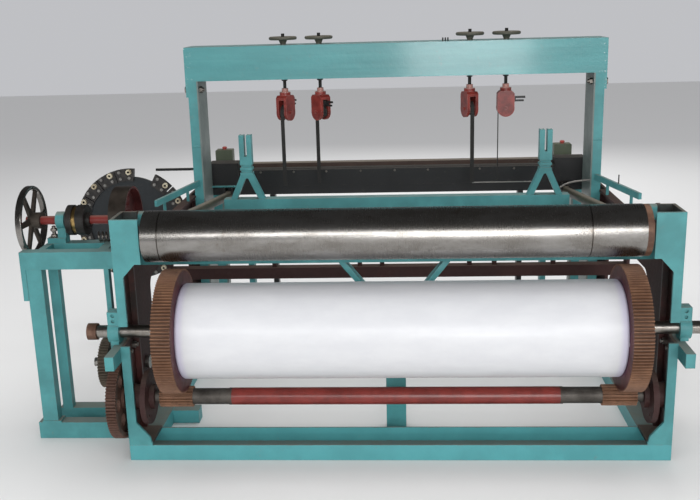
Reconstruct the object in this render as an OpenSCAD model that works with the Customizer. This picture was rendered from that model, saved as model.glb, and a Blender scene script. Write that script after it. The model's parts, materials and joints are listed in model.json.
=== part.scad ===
// Power loom, warp-beam side to the front (-Y), weaver's side to the back (+Y).
// Millimetres. The origin is the centre of the front sill's underside, Z is up.

/* [Front frame] */
// Width over the two front posts
frame_w = 2060; // [2040:5:2100]
// Height of the front posts above the floor
post_h = 955; // [940:5:1000]
// Depth of the front posts
post_d = 150; // [140:2:156]
// Wall of the post castings
post_wall = 12; // [8:1:14]
// Width of the narrow part of a post's front edge
edge_w = 34; // [30:1:38]
// Width of a post's head
head_w = 104; // [98:1:108]
// Height of a post's head
head_h = 168; // [150:2:180]
// Width of a post's foot
foot_w = 90; // [84:1:96]
// Depth of the channel that makes the front sill
sill_d = 160; // [156:1:166]
// Height of the channel's flanges
sill_h = 63; // [55:1:70]
// Wall of the channel
sill_wall = 6.5; // [5:0.5:9]

/* [Warp beam] */
// Height of the warp beam's axis
beam_z = 506; // [500:1:512]
// Place of the warp beam's axis in depth
beam_y = -14; // [-18:1:-10]
// Offset of the warp beam to the right
beam_shift = 15.5; // [10:0.5:18]
// Diameter of the axle
axle_d = 48; // [40:1:52]
// Outer diameter of the wrapped warp roll
roll_d = 362; // [300:2:380]
// Width over the front posts less the distance between the ring gears
roll_room = 435; // [430:5:460]
// Face width of the ring gears
ring_w = 71; // [60:1:72]
// Thickness of the ring gear's web
ring_web = 16; // [10:1:24]
// Diameter of the locking collar at the axle's left end
collar_d = 64; // [56:1:70]

/* [Gears] */
// Module of all let-off gears
gear_module = 4; // [4:0.02:4.04]
// Backlash of a gear pair, at the pitch circle
backlash = 0.6; // [0.4:0.1:1]
// Teeth of a ring gear
ring_teeth = 116;
// Teeth of a pinion below a ring gear
pinion_teeth = 18;
// Length of a pinion
pinion_len = 128; // [110:2:132]
// Teeth of the let-off gear
let_off_teeth = 78;
// Face width of the let-off and idler gears
let_off_w = 38; // [30:1:40]
// Teeth of the idler's small gear
idler_small_teeth = 30;
// Teeth of the idler's large gear
idler_large_teeth = 50;
// Direction from the let-off gear to the idler, above the horizontal
idler_angle = 17; // [14:0.5:20]
// Diameter of the pinion shaft's painted middle
pinion_shaft_d = 66; // [60:1:68]
// Diameter of the pinion shaft's journals
pinion_journal_d = 50; // [40:1:54]
// Diameter of the idler's stub shaft
stub_d = 36; // [30:1:40]

/* [Top roller] */
// Diameter of the top roller
roller_d = 191; // [180:1:196]
// Distance between the top roller's end and the post
roller_room = 102; // [100:1:112]
// Height of the top roller's axis
roller_z = 876; // [872:1:880]
// Place of the top roller's axis in depth
roller_y = -8; // [-12:1:-4]
// Diameter of the top roller's journals
roller_journal_d = 50; // [40:1:54]
// Width of the rusty ring at the top roller's right end
end_ring_w = 22; // [16:1:30]

/* [Side frames] */
// Depth of the machine behind the front sill
rear_y = 1760; // [1740:5:1800]
// Wall of the dark red side plates
plate_wall = 14; // [10:1:16]
// Height of the side plates
plate_h = 790; // [775:5:795]
// Width of a floor rail
rail_w = 90; // [88:1:94]
// Width of an upper post
upper_w = 50; // [46:1:54]
// Depth of an upper post
upper_d = 200; // [180:5:205]
// Front face of the upper posts
upper_y = 1180; // [1175:1:1185]
// Distance of the overhead beam's end inside the front post's outer face
overhead_room = 27; // [20:1:35]
// Height of the overhead beam
overhead_h = 160; // [140:5:170]
// Top of the overhead beam above the floor
overhead_z = 1508; // [1500:2:1520]
// Wall of the overhead beam
overhead_wall = 8; // [6:1:10]

/* [Drive bay] */
// Width of the drive bay beside the side frame
bay_w = 430; // [420:2:440]
// Front face of the drive bay
bay_y = 110; // [106:1:114]
// Front face of the bay's rear beam
bay_rear_y = 248; // [244:1:252]
// Top of the drive bay above the floor
bay_z = 788; // [780:1:795]
// Height of the bay's beams
bay_beam_h = 70; // [60:1:74]
// Width of the bay's members in depth
bay_member = 50; // [44:1:54]
// Height of the main shaft's axis above the bay
shaft_rise = 92; // [90:1:96]
// Diameter of the main shaft
shaft_d = 35; // [30:1:38]
// Outer diameter of the flywheel
flywheel_d = 280; // [240:2:282]
// Outer diameter of the drive pulley
pulley_d = 266; // [240:2:268]
// Face width of the drive pulley
pulley_w = 67; // [50:1:68]
// Diameter of the clutch drum
drum_d = 122; // [100:2:130]

/* [Pin disc] */
// Radius of the circle of pins
pin_circle_r = 288; // [270:2:292]
// Number of places for pins around the disc, of which one is left bare
pin_places = 17;
// Thickness of the disc
disc_t = 14; // [10:1:18]
// Distance of the disc's axis from the side frame
disc_out = 321; // [315:1:330]
// Height of the disc's axis
disc_z = 621; // [615:1:630]

/* [Healds and sley] */
// Distance of the heald guides inside the side frame
guide_room = 330; // [320:2:340]
// Top of the heald guides above the floor
guide_h = 1108; // [1090:2:1120]
// Front face of the heald guides
guide_y = 1000; // [990:2:1010]
// Front face of the sley at rest
sley_y = 1400; // [1396:1:1406]
// Depth of the sley
sley_d = 90; // [80:1:95]
// Height of the rocking shaft
rocker_z = 150; // [145:1:160]
// Distance of the connecting rods inside the side frame
rod_room = 170; // [164:1:175]
// Diameter of a connecting rod
rod_d = 42; // [36:1:46]
// Throw of the cranks on the main shaft
crank_throw = 47; // [44:1:48]
// Travel of a stop button
button_travel = 5; // [3:1:6]

/* [Lifting screws] */
// Diameter of a lifting screw
screw_d = 16; // [14:1:20]
// Diameter of a handwheel
handwheel_d = 136; // [120:2:140]
// Diameter of a strap sheave
sheave_d = 72; // [64:1:74]
// Width of a sheave
sheave_w = 26; // [22:1:28]
// Width of a lifting strap
strap_w = 20; // [16:1:22]
// Lower end of the straps above the floor
strap_z = 820; // [815:1:830]

/* [Fits] */
// Radial clearance of a shaft in a bearing
run_fit = 0.05; // [0.03:0.01:0.1]
// Radial clearance of a seat that is keyed or pinned
seat_fit = 0.05; // [0.02:0.01:0.1]
// Clearance between parts that pass each other closely
gap = 2; // [1:0.5:3]

/* [Hidden] */

// Colours
teal = [0.33, 0.62, 0.63];
dark_red = [0.30, 0.11, 0.10];
bright_red = [0.66, 0.12, 0.08];
gear_brown = [0.42, 0.27, 0.19];
steel = [0.62, 0.60, 0.57];
black = [0.10, 0.10, 0.11];
film_white = [0.93, 0.94, 0.95];
olive = [0.22, 0.23, 0.15];
wheel_grey = [0.45, 0.45, 0.38];

// Places shared by several pieces
half_w = frame_w / 2;
front_y = -sill_d / 2;
post_back = front_y + post_d;
web_in = half_w - post_wall;
plate_in = half_w - plate_wall;
rail_in = half_w - rail_w;
slot_w = axle_d + 32;
roll_len = frame_w - roll_room;
roller_len = 2 * (web_in - roller_room);
overhead_len = frame_w - 2 * overhead_room;
bay_x = half_w + bay_w;
disc_x = half_w + disc_out;
guide_x = half_w - guide_room;
rod_x = half_w - rod_room;

// Gear geometry
function pitch_r(n) = gear_module * n / 2;
function tip_r(n) = pitch_r(n) + gear_module;
function root_r(n) = pitch_r(n) - 1.25 * gear_module;
function involute(a) = tan(a) * 180 / PI - a;
function half_angle(n, r) =
    let (base = pitch_r(n) * cos(20),
         play = backlash / 4 / pitch_r(n) * 180 / PI)
    90 / n - play + involute(20) - (r > base ? involute(acos(base / r)) : 0);
function tooth_sides(n) =
    let (r0 = root_r(n),
         r1 = max(pitch_r(n) * cos(20), root_r(n) + 0.5),
         r2 = pitch_r(n) + 0.3 * gear_module,
         r3 = tip_r(n))
    [[r0, -half_angle(n, r0)], [r1, -half_angle(n, r1)], [r2, -half_angle(n, r2)],
     [r3, -half_angle(n, r3)], [r3, half_angle(n, r3)], [r2, half_angle(n, r2)],
     [r1, half_angle(n, r1)], [r0, half_angle(n, r0)]];

pinion_y = beam_y;
pinion_z = beam_z - pitch_r(ring_teeth) - pitch_r(pinion_teeth);
idler_distance = pitch_r(let_off_teeth) + pitch_r(idler_small_teeth);
idler_y = pinion_y + idler_distance * cos(idler_angle);
idler_z = pinion_z + idler_distance * sin(idler_angle);
let_off_x = -half_w - 12 - let_off_w;
idler_large_x = let_off_x - 70 - let_off_w;
stub_end_x = idler_large_x - 40;

// Side and upper frame
post_head_z = post_h - head_h;
upper_out = overhead_len / 2 - 10;
upper_in = upper_out - upper_w;
overhead_bottom = overhead_z - overhead_h;
overhead_y = upper_y + upper_d / 2;
rear_post_y = 1640;
rear_post_d = 60;
breast_z = 868;
breast_h = 78;
breast_half = half_w - 30;

// Drive bay
bay_rear_x = -half_w - 90;
shaft_y = bay_rear_y + 20;
shaft_z = bay_z + shaft_rise;
pulley_x = -half_w - 7 - pulley_w;
shaft_left = -bay_x - 16;
shaft_right = plate_in;

// Pin disc
disc_y = 1300;
disc_r = pin_circle_r - 42;
disc_shaft_d = 40;

// Sley
sley_body_z = 789;
sley_body_h = 83;
sley_foot_h = 47;
sley_box_x = half_w - 224;
sley_box_z = 800;
sley_box_h = 112;
sley_end = half_w - 70;
rocker_y = sley_y + 42;
rocker_d = 50;
sword_x = half_w - 390;
sword_w = 26;
sword_d = 60;
rod_pin_y = sley_y - 26;
rod_pin_z = 748;
rod_pin_d = 20;
rod_half_w = 18;
rod_eye_d = 60;
crank_y = shaft_y - crank_throw;
crank_pin_d = 34;
crank_pin_gap = 1.5;
web_gap = 6;
web_t = 20;

// Lifting screws
lift_x = [-534, -360, 367, 541];
lift_swivel = [65, -50, 110, 0];
lift_y = overhead_y;
yoke_top = 1298;
sheave_z = 1182;
yoke_w = 84;
yoke_bevel = 12;
yoke_collar_d = 32;
yoke_step_d = 54;
yoke_collar_h = 18;
yoke_step_h = 16;
yoke_head_h = 22;
cheek_t = 14;
cheek_gap = sheave_w + 4;
strap_t = 3;

stop_box_x = [-half_w + 105, half_w - 143];
stop_box_w = 92;
stop_box_h = 76;
stop_box_d = 62;
button_d = 26;

$fn = 64;

// Solids along the axes
module x_rod(x0, x1, y, z, d) {
    translate([x0, y, z]) rotate([0, 90, 0]) cylinder(d = d, h = x1 - x0);
}
module y_rod(x, y0, y1, z, d) {
    translate([x, y0, z]) rotate([-90, 0, 0]) cylinder(d = d, h = y1 - y0);
}
module z_rod(x, y, z0, z1, d) {
    translate([x, y, z0]) cylinder(d = d, h = z1 - z0);
}
module block(x0, x1, y0, y1, z0, z1) {
    translate([x0, y0, z0]) cube([x1 - x0, y1 - y0, z1 - z0]);
}
// A Y-Z outline extruded from x0 to x1
module yz_plate(x0, x1) {
    translate([x0, 0, 0]) rotate([90, 0, 90]) linear_extrude(x1 - x0) children();
}
// An X-Z outline extruded from y0 to y1
module xz_plate(y0, y1) {
    translate([0, y1, 0]) rotate([90, 0, 0]) linear_extrude(y1 - y0) children();
}
module round_rect(x0, x1, y0, y1, r) {
    translate([x0 + r, y0]) square([x1 - x0 - 2 * r, y1 - y0]);
    translate([x0, y0 + r]) square([x1 - x0, y1 - y0 - 2 * r]);
    for (x = [x0 + r, x1 - r], y = [y0 + r, y1 - r]) translate([x, y]) circle(r);
}
module both_sides() {
    children();
    mirror([1, 0, 0]) children();
}
// A hexagon bolt head along X, with its bearing face at x
module x_hex(x, y, z, across, h) {
    translate([x, y, z]) rotate([0, 90, 0]) cylinder(d = across / cos(30), h = h, $fn = 6);
}

module gear_teeth(n, w, phase) {
    linear_extrude(w)
        polygon([for (i = [0 : n - 1]) for (p = tooth_sides(n))
            let (a = phase + i * 360 / n + p[1]) p[0] * [cos(a), sin(a)]]);
}
// A gear about X from x0, with its teeth turned to phase
module x_gear(n, x0, w, y, z, phase) {
    translate([x0, y, z]) rotate([90, 0, 90]) gear_teeth(n, w, phase);
}

// Front frame

function post_outline() = [
    [half_w, sill_h], [half_w, post_h], [half_w - head_w, post_h],
    [half_w - head_w, post_head_z], [half_w - head_w + 24, post_head_z],
    [half_w - edge_w, post_head_z - 50], [half_w - edge_w, sill_h + 92],
    [half_w - foot_w + 8, sill_h + 34], [half_w - foot_w, sill_h]];

arm_w = 34;
arm_h = 54;
arm_z = beam_z - 98;
arm_front = -175;
arm_bolt_z = arm_z + arm_h / 2;
arm_bolt_y = [-40, 34];
arm_bolt_d = 16;
hole_play = 0.6;
pinion_hole_d = pinion_journal_d + 6;

// Channel casting: web outside, edges to the front and back, slot for the axle
module front_post(shaft_through) {
    color(teal) difference() {
        union() {
            xz_plate(front_y, front_y + post_wall) polygon(post_outline());
            block(web_in, half_w, front_y, post_back, sill_h, post_h);
            block(half_w - edge_w, half_w, post_back - post_wall, post_back, sill_h, post_h);
            block(half_w - head_w + 40, half_w, post_back - post_wall, post_back,
                post_head_z, post_h);
            block(half_w - foot_w, half_w, front_y, post_back, sill_h, sill_h + post_wall);
        }
        block(half_w - head_w - 1, half_w + 1, front_y - 1, beam_y,
            beam_z - slot_w / 2, beam_z + slot_w / 2);
        x_rod(web_in - 1, half_w + 1, beam_y, beam_z, slot_w);
        if (shaft_through) x_rod(web_in - 1, half_w + 1, pinion_y, pinion_z, pinion_hole_d);
        for (y = arm_bolt_y)
            x_rod(web_in - 1, half_w + 1, y, arm_bolt_z, arm_bolt_d + hole_play);
    }
}
module left_front_post() mirror([1, 0, 0]) front_post(true);
module right_front_post() front_post(false);

// Bars beside the posts that carry the clamps of the warp beam
module beam_arms() {
    color(teal) both_sides() difference() {
        block(half_w, half_w + arm_w, arm_front, post_back - 10, arm_z, arm_z + arm_h);
        for (y = arm_bolt_y)
            x_rod(half_w - 1, half_w + arm_w + 1, y, arm_bolt_z, arm_bolt_d + hole_play);
    }
}

clamp_in = half_w + 12;
clamp_w = 42;
clamp_r = 42;
clamp_top = beam_z + 84;
// Split bearings of the warp beam's axle, clamped by two screws above the axle
module beam_clamps() {
    color(teal) both_sides() difference() {
        union() {
            x_rod(clamp_in, clamp_in + clamp_w, beam_y, beam_z, 2 * clamp_r);
            block(clamp_in, clamp_in + clamp_w, beam_y - 26, beam_y + 26, beam_z + 20, clamp_top);
            block(clamp_in + 4, clamp_in + clamp_w - 8, beam_y - 30, beam_y + 30,
                arm_z + arm_h, beam_z - 28);
        }
        x_rod(clamp_in - 1, clamp_in + clamp_w + 1, beam_y, beam_z, axle_d + 2 * run_fit);
        block(clamp_in - 1, clamp_in + clamp_w + 1, beam_y - 2, beam_y + 2, beam_z, clamp_top + 1);
        for (z = [clamp_top - 14, clamp_top - 36])
            y_rod(clamp_in + clamp_w / 2, beam_y - 27, beam_y - 18, z, 14);
    }
}

bolt_end = 9;
// A bolt from its nut at x0 to its hexagon head at x1
module x_bolt(x0, x1, y, z, d) {
    x_hex(x1, y, z, 1.5 * d, 0.65 * d);
    x_rod(x0 - 0.8 * d - bolt_end, x1, y, z, d);
    x_hex(x0 - 0.8 * d, y, z, 1.5 * d, 0.8 * d);
}
// Bolts of the arms and of the overhead beam's saddles, with their nuts inside
module frame_bolts() {
    color(steel) both_sides() {
        for (y = arm_bolt_y) x_bolt(web_in, half_w + arm_w, y, arm_bolt_z, arm_bolt_d);
        x_bolt(upper_in, upper_out + saddle_t, saddle_bolt_y, saddle_bolt_z, saddle_bolt_d);
    }
}

bearing_disc_r = 105;
bearing_disc_x = half_w - 85;
roller_block = 100;
roller_block_x = web_in - 36;
// Bearings inside the front posts: flanged ones of the pinion shaft, square ones of the roller
module frame_bearings() {
    color(dark_red) both_sides() difference() {
        union() {
            x_rod(bearing_disc_x, bearing_disc_x + 20, pinion_y, pinion_z, 2 * bearing_disc_r);
            x_rod(bearing_disc_x - 18, web_in, pinion_y, pinion_z, 96);
            x_rod(web_in - 12, web_in, pinion_y, pinion_z, 104);
        }
        x_rod(bearing_disc_x - 19, web_in + 1, pinion_y, pinion_z,
            pinion_journal_d + 2 * run_fit);
        for (a = [45 : 90 : 315])
            x_rod(bearing_disc_x - 1, bearing_disc_x + 21, pinion_y + 80 * cos(a),
                pinion_z + 80 * sin(a), 14);
    }
    color(dark_red) both_sides() difference() {
        block(roller_block_x, web_in, roller_y - roller_block / 2, roller_y + roller_block / 2,
            roller_z - roller_block / 2, roller_z + roller_block / 2);
        x_rod(roller_block_x - 1, web_in + 1, roller_y, roller_z,
            roller_journal_d + 2 * run_fit);
    }
}

tie_y = 186;
tie_d = 60;
tie_z = 712;
tie_h = 76;
centre_post_w = 80;
// Tie behind the top roller, with the post that holds it up in the middle
module front_tie() {
    color(teal) {
        block(-plate_in, plate_in, tie_y, tie_y + tie_d, tie_z, tie_z + tie_h);
        block(-centre_post_w / 2, centre_post_w / 2, tie_y, tie_y + tie_d, 0, tie_z);
    }
}

// Side frames

window_front = 340;
window_rear = 1090;
window_rib = 60;
flange_w = 40;
shaft_boss_d = 68;
module plate_outline() {
    translate([post_back, sill_h]) square([upper_y + upper_d - post_back, plate_h - sill_h]);
    translate([shaft_y, shaft_z]) circle(d = shaft_boss_d);
    translate([shaft_y - shaft_boss_d / 2, plate_h - 10])
        square([shaft_boss_d, shaft_z - plate_h + 10]);
}
// Cast side plate with two windows, a flange along its top and pads for the upper post
module side_plate(shafts_through) {
    mid = (window_front + window_rear) / 2;
    color(dark_red) difference() {
        union() {
            yz_plate(plate_in, half_w) plate_outline();
            block(half_w - flange_w, half_w, tie_y + tie_d + 60, upper_y, plate_h - 12, plate_h);
            block(half_w - 1, bar_x(stud_at[1]) + 20, bar_y(stud_at[1]) - 24,
                bar_y(stud_at[1]) + 24, plate_h - 30, plate_h);
            for (z = [plate_h - 90, sill_h + 60])
                block(upper_out, plate_in, upper_y + 20, upper_y + upper_d - 20, z, z + 60);
        }
        yz_plate(plate_in - 1, half_w + 1) {
            round_rect(window_front, mid - window_rib / 2, 170, 620, 50);
            round_rect(mid + window_rib / 2, window_rear, 170, 620, 50);
        }
        if (shafts_through) {
            x_rod(plate_in - 1, half_w + 1, shaft_y, shaft_z, shaft_d + 6);
            x_rod(plate_in - 1, half_w + 1, idler_y, idler_z, stub_d + 2 * seat_fit);
        }
    }
}
module side_plates() {
    side_plate(false);
    mirror([1, 0, 0]) side_plate(true);
}

foot_box_x = half_w - 200;
bracket_x = rail_in + 10;
bracket_w = 40;
// Front sill with its flanges up, floor rails and cross rails, and the rocking shaft's brackets
module base_frame() {
    color(teal) {
        difference() {
            block(-half_w, half_w, front_y, -front_y, 0, sill_h);
            block(-half_w - 1, half_w + 1, front_y + sill_wall, -front_y - sill_wall,
                sill_wall, sill_h + 1);
        }
        both_sides() difference() {
            union() {
                block(bracket_x, bracket_x + bracket_w, rocker_y - 40, rocker_y + 40,
                    sill_h, rocker_z);
                x_rod(bracket_x, bracket_x + bracket_w, rocker_y, rocker_z, 80);
            }
            x_rod(bracket_x - 1, bracket_x + bracket_w + 1, rocker_y, rocker_z,
                rocker_d + 2 * run_fit);
        }
        both_sides() difference() {
            block(rail_in, half_w, -front_y, rear_y, 0, sill_h);
            block(rail_in + sill_wall, half_w - sill_wall, -front_y - 1, rear_y + 1,
                sill_wall, sill_h - sill_wall);
        }
        for (y = [guide_y, rear_y - 60])
            block(-rail_in, rail_in, y, y + 60, 0, sill_h);
        block(-rail_in, -foot_box_x, 250, 310, 0, sill_h - 6);
    }
}

// Upper posts that carry the overhead beam, and rear posts that carry the breast beam
module frame_posts() {
    color(teal) both_sides() {
        difference() {
            block(upper_in, upper_out, upper_y, upper_y + upper_d, sill_h, overhead_bottom);
            x_rod(upper_in - 1, upper_out + 1, saddle_bolt_y, saddle_bolt_z,
                saddle_bolt_d + hole_play);
        }
        block(rail_in, rail_in + 60, rear_post_y, rear_post_y + rear_post_d, sill_h,
            breast_z - breast_h);
    }
}

saddle_drop = 76;
saddle_t = 10;
saddle_bolt_d = 18;
saddle_bolt_y = upper_y + 40;
saddle_bolt_z = overhead_bottom - 42;
screw_hole_d = screw_d + 4;
// Inverted channel across the upper posts, with a saddle plate and a bolt at each end
module overhead_beam() {
    color(teal) difference() {
        union() {
            difference() {
                block(-overhead_len / 2, overhead_len / 2, upper_y, upper_y + upper_d,
                    overhead_bottom, overhead_z);
                block(-upper_in, upper_in, upper_y + overhead_wall,
                    upper_y + upper_d - overhead_wall, overhead_bottom - 1,
                    overhead_z - overhead_wall);
            }
            both_sides() {
                block(upper_out, upper_out + saddle_t, upper_y, upper_y + upper_d,
                    overhead_bottom - saddle_drop, overhead_bottom);
            }
        }
        both_sides() x_rod(upper_out - 1, upper_out + saddle_t + 1, saddle_bolt_y,
            saddle_bolt_z, saddle_bolt_d + hole_play);
        for (x = lift_x) z_rod(x, lift_y, overhead_bottom, overhead_z + 1, screw_hole_d);
    }
}

cross_z = 745;
cross_h = 58;
cross_half = half_w - 215;
cross_d = 60;
module guide_cross_beam() {
    difference() {
        block(-cross_half, cross_half, guide_y, guide_y + cross_d, cross_z, cross_z + cross_h);
        block(-cross_half - 1, cross_half + 1, guide_y + 6, guide_y + cross_d + 1,
            cross_z + 6, cross_z + cross_h - 6);
    }
}

prong_w = 23;
prong_gap = 12;
prong_d = 46;
collar_rib = 5;
module heald_guide() {
    top = cross_z + cross_h;
    half = prong_gap / 2 + prong_w;
    translate([guide_x, guide_y, 0]) {
        block(-13, 13, 0, cross_d, sill_h, cross_z);
        xz_plate(4, prong_d - 4) polygon([[-82, top], [-52, top], [-6, top + 100],
            [6, top + 100], [52, top], [82, top], [30, top + 116], [-30, top + 116]]);
        for (i = [0 : 3])
            block(-half + (i % 2) * collar_rib, half - (i % 2) * collar_rib,
                (i % 2) * collar_rib, prong_d - (i % 2) * collar_rib,
                top + 116 + 12 * i, top + 128 + 12 * i);
        block(-half, half, 0, prong_d, top + 164, guide_h - 100);
        for (s = [-1, 1]) translate([s * (prong_gap / 2 + prong_w / 2), 0, 0])
            difference() {
                block(-prong_w / 2, prong_w / 2, 0, prong_d, guide_h - 100, guide_h);
                block(-prong_w / 2 + 5, prong_w / 2 - 5, prong_d - 12, prong_d + 1,
                    guide_h - 90, guide_h + 1);
            }
    }
}
// Guide stands: leg from the floor, cross beam, splayed feet, collar and fork
module heald_guides() {
    color(teal) {
        guide_cross_beam();
        both_sides() heald_guide();
    }
}

bar_len = 486;
bar_h = 28;
bar_t = 14;
bar_splay = 11;
bar_z = plate_h + 47;
stud_d = 14;
// Bars that splay forward from the upper posts, each on two studs of the side plate
stud_at = [140, 400];
bar_root = upper_out - 22;
function bar_x(y) = bar_root + y * sin(bar_splay);
function bar_y(y) = upper_y - y * cos(bar_splay);
module side_bars() {
    color(teal) both_sides() difference() {
        union() {
            translate([bar_root, upper_y, bar_z]) rotate([0, 0, 180 + bar_splay])
                block(-bar_t / 2, bar_t / 2, -bar_t, bar_len, 0, bar_h);
            for (y = stud_at) z_rod(bar_x(y), bar_y(y), plate_h, bar_z, stud_d);
        }
        block(upper_in, upper_out + 1, upper_y, upper_y + upper_d, bar_z - 1, bar_z + bar_h + 1);
    }
}

// Rear and inside frame

module breast_beam() {
    color(black) block(-breast_half, breast_half, rear_post_y, rear_post_y + rear_post_d,
        breast_z - breast_h, breast_z);
}

module stop_boxes() {
    color(olive) for (x = stop_box_x) difference() {
        xz_plate(rear_post_y, rear_post_y + stop_box_d) translate([x, breast_z])
            round_rect(-stop_box_w / 2, stop_box_w / 2, 0, stop_box_h, 6);
        z_rod(x, rear_post_y + stop_box_d / 2, breast_z + stop_box_h - 22,
            breast_z + stop_box_h + 1, button_d - 8 + 2 * 0.3);
    }
}
module stop_button(i) {
    z = breast_z + stop_box_h;
    color(bright_red) {
        z_rod(stop_box_x[i], rear_post_y + stop_box_d / 2, z - 14, z + button_travel + 1,
            button_d - 8);
        translate([stop_box_x[i], rear_post_y + stop_box_d / 2, z + button_travel + 1])
            rotate_extrude() polygon([[0, 0], [button_d / 2, 0], [button_d / 2, 5],
                [button_d / 2 - 4, 9], [0, 10]]);
    }
}
module left_stop_button() stop_button(0);
module right_stop_button() stop_button(1);

mid_rail_y = 690;
mid_rail_z = 500;
mid_rail_h = 50;
stay_x = [-545, -160, -60, 330, 440, 700];
stay_w = 20;
stay_h = 100;
// Dark red cross rail inside the machine, with upright stays on it
module mid_rail() {
    color(dark_red) {
        block(-plate_in, plate_in, mid_rail_y, mid_rail_y + mid_rail_h, mid_rail_z,
            mid_rail_z + mid_rail_h);
        for (x = stay_x) block(x - stay_w / 2, x + stay_w / 2, mid_rail_y + 15,
            mid_rail_y + 15 + stay_w, mid_rail_z + mid_rail_h, mid_rail_z + mid_rail_h + stay_h);
    }
}

// Drive bay

bay_post_in = 20;
end_plate_h = 128;
module bay_top_frame() {
    color(teal) {
        difference() {
            block(-bay_x, -half_w, bay_y, bay_y + bay_member, bay_z - bay_beam_h, bay_z);
            block(-bay_x + 8, -half_w + 1, bay_y + 8, bay_y + bay_member + 1,
                bay_z - bay_beam_h + 8, bay_z - 8);
        }
        block(-bay_x + 60, bay_rear_x, bay_rear_y, bay_rear_y + bay_member + 6,
            bay_z - bay_beam_h + 10, bay_z);
        block(-bay_x, -bay_x + bay_post_in, bay_y, bay_y + bay_member,
            bay_z - bay_beam_h - end_plate_h, bay_z - bay_beam_h);
        block(-bay_x + 60, -bay_x + 88, bay_y + bay_member, bay_rear_y,
            bay_z - bay_beam_h + 10, bay_z);
        block(bay_rear_x - 40, bay_rear_x, bay_y + bay_member, bay_rear_y,
            bay_z - bay_beam_h + 10, bay_z);
    }
}

bay_post_w = 62;
bay_bar_x = half_w + 100;
bay_bar_w = 19;
back_post_x = bay_x - 45;
back_post_w = 42;
// Posts, floor channels and upright bar of the drive bay
module bay_stand() {
    bottom = bay_beam_h;
    color(teal) {
        difference() {
            block(-bay_x, -half_w, bay_y, bay_y + bay_member, 0, bottom);
            block(-bay_x + 8, -half_w + 1, bay_y + 8, bay_y + bay_member + 1, 8, bottom - 8);
        }
        block(-bay_x + bay_post_in - 4, -bay_x + bay_post_in + bay_post_w + 12, bay_y,
            bay_y + bay_member, bottom, bottom + 7);
        block(-bay_x + bay_post_in, -bay_x + bay_post_in + bay_post_w, bay_y + 2,
            bay_y + bay_member - 2, bottom + 7, bay_z - bay_beam_h);
        block(-bay_bar_x, -bay_bar_x + bay_bar_w, bay_y, bay_y + bay_bar_w + 12,
            bottom, bay_z - bay_beam_h);
        block(-bay_x + 30, -half_w, bay_rear_y + 22, bay_rear_y + 82, 0, bottom - 8);
        block(-back_post_x, -back_post_x + back_post_w, bay_rear_y + 22,
            bay_rear_y + bay_member + 6, bottom - 8, bay_z - bay_beam_h + 10);
    }
}

// Stub shaft of the idler gears, with its nut inside the side plate
module idler_stub() {
    color(steel) {
        x_rod(stub_end_x, -plate_in, idler_y, idler_z, stub_d);
        x_rod(-plate_in, -plate_in + 16, idler_y, idler_z, stub_d + 16);
    }
}

end_bearing_x = half_w + 320;
end_bearing_w = 34;
end_bearing_d = 70;
end_pad_h = 22;
middle_bearing_x = half_w - 470;
bearing_w = 40;
middle_bearing_d = 56;
bearing_neck = 8;
// Bearings of the main shaft: on the bay, on the side plates and on the front tie
module shaft_bearings() {
    color(teal) difference() {
        union() {
            block(-end_bearing_x - 44, -end_bearing_x + end_bearing_w - 3, bay_rear_y,
                bay_rear_y + bay_member, bay_z, bay_z + end_pad_h);
            block(-end_bearing_x, -end_bearing_x + end_bearing_w, bay_rear_y + 2,
                bay_rear_y + bay_member - 10, bay_z + end_pad_h, shaft_z - bearing_neck);
            x_rod(-end_bearing_x, -end_bearing_x + end_bearing_w, shaft_y, shaft_z, end_bearing_d);
        }
        x_rod(-end_bearing_x - 1, -end_bearing_x + end_bearing_w + 1, shaft_y, shaft_z,
            shaft_d + 2 * run_fit);
    }
    color(teal) both_sides() difference() {
        x_rod(plate_in - bearing_w, plate_in, shaft_y, shaft_z, shaft_boss_d - 4);
        x_rod(plate_in - bearing_w - 1, plate_in + 1, shaft_y, shaft_z, shaft_d + 2 * run_fit);
    }
    color(teal) both_sides() difference() {
        union() {
            x_rod(middle_bearing_x, middle_bearing_x + bearing_w, shaft_y, shaft_z,
                middle_bearing_d);
            block(middle_bearing_x, middle_bearing_x + bearing_w, tie_y + 10, shaft_y,
                shaft_z - middle_bearing_d / 2 + 1, shaft_z - bearing_neck);
            block(middle_bearing_x, middle_bearing_x + bearing_w, tie_y + 10, tie_y + tie_d,
                tie_z + tie_h, shaft_z - bearing_neck);
        }
        x_rod(middle_bearing_x - 1, middle_bearing_x + bearing_w + 1, shaft_y, shaft_z,
            shaft_d + 2 * run_fit);
    }
}

bracket_y = disc_y + 34;
// Outrigger on the left side plate that carries the pin disc
module disc_bracket() {
    color(teal) difference() {
        union() {
            block(-disc_x - 40, -half_w, bracket_y, bracket_y + 44, disc_z - 30, disc_z + 30);
            block(-half_w - 14, -half_w, bracket_y - 50, bracket_y + 44, disc_z - 60, disc_z + 60);
            y_rod(-disc_x, bracket_y - 12, bracket_y + 56, disc_z, 84);
        }
        y_rod(-disc_x, bracket_y - 13, bracket_y + 57, disc_z, disc_shaft_d + 2 * run_fit);
    }
}

// Warp beam

ring_left_x = beam_shift - roll_len / 2 - ring_w;
ring_right_x = beam_shift + roll_len / 2;
ring_rim_in = 205;
hub_d = 116;
web_hole_d = 84;
web_hole_r = (ring_rim_in + hub_d / 2) / 2;
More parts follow.
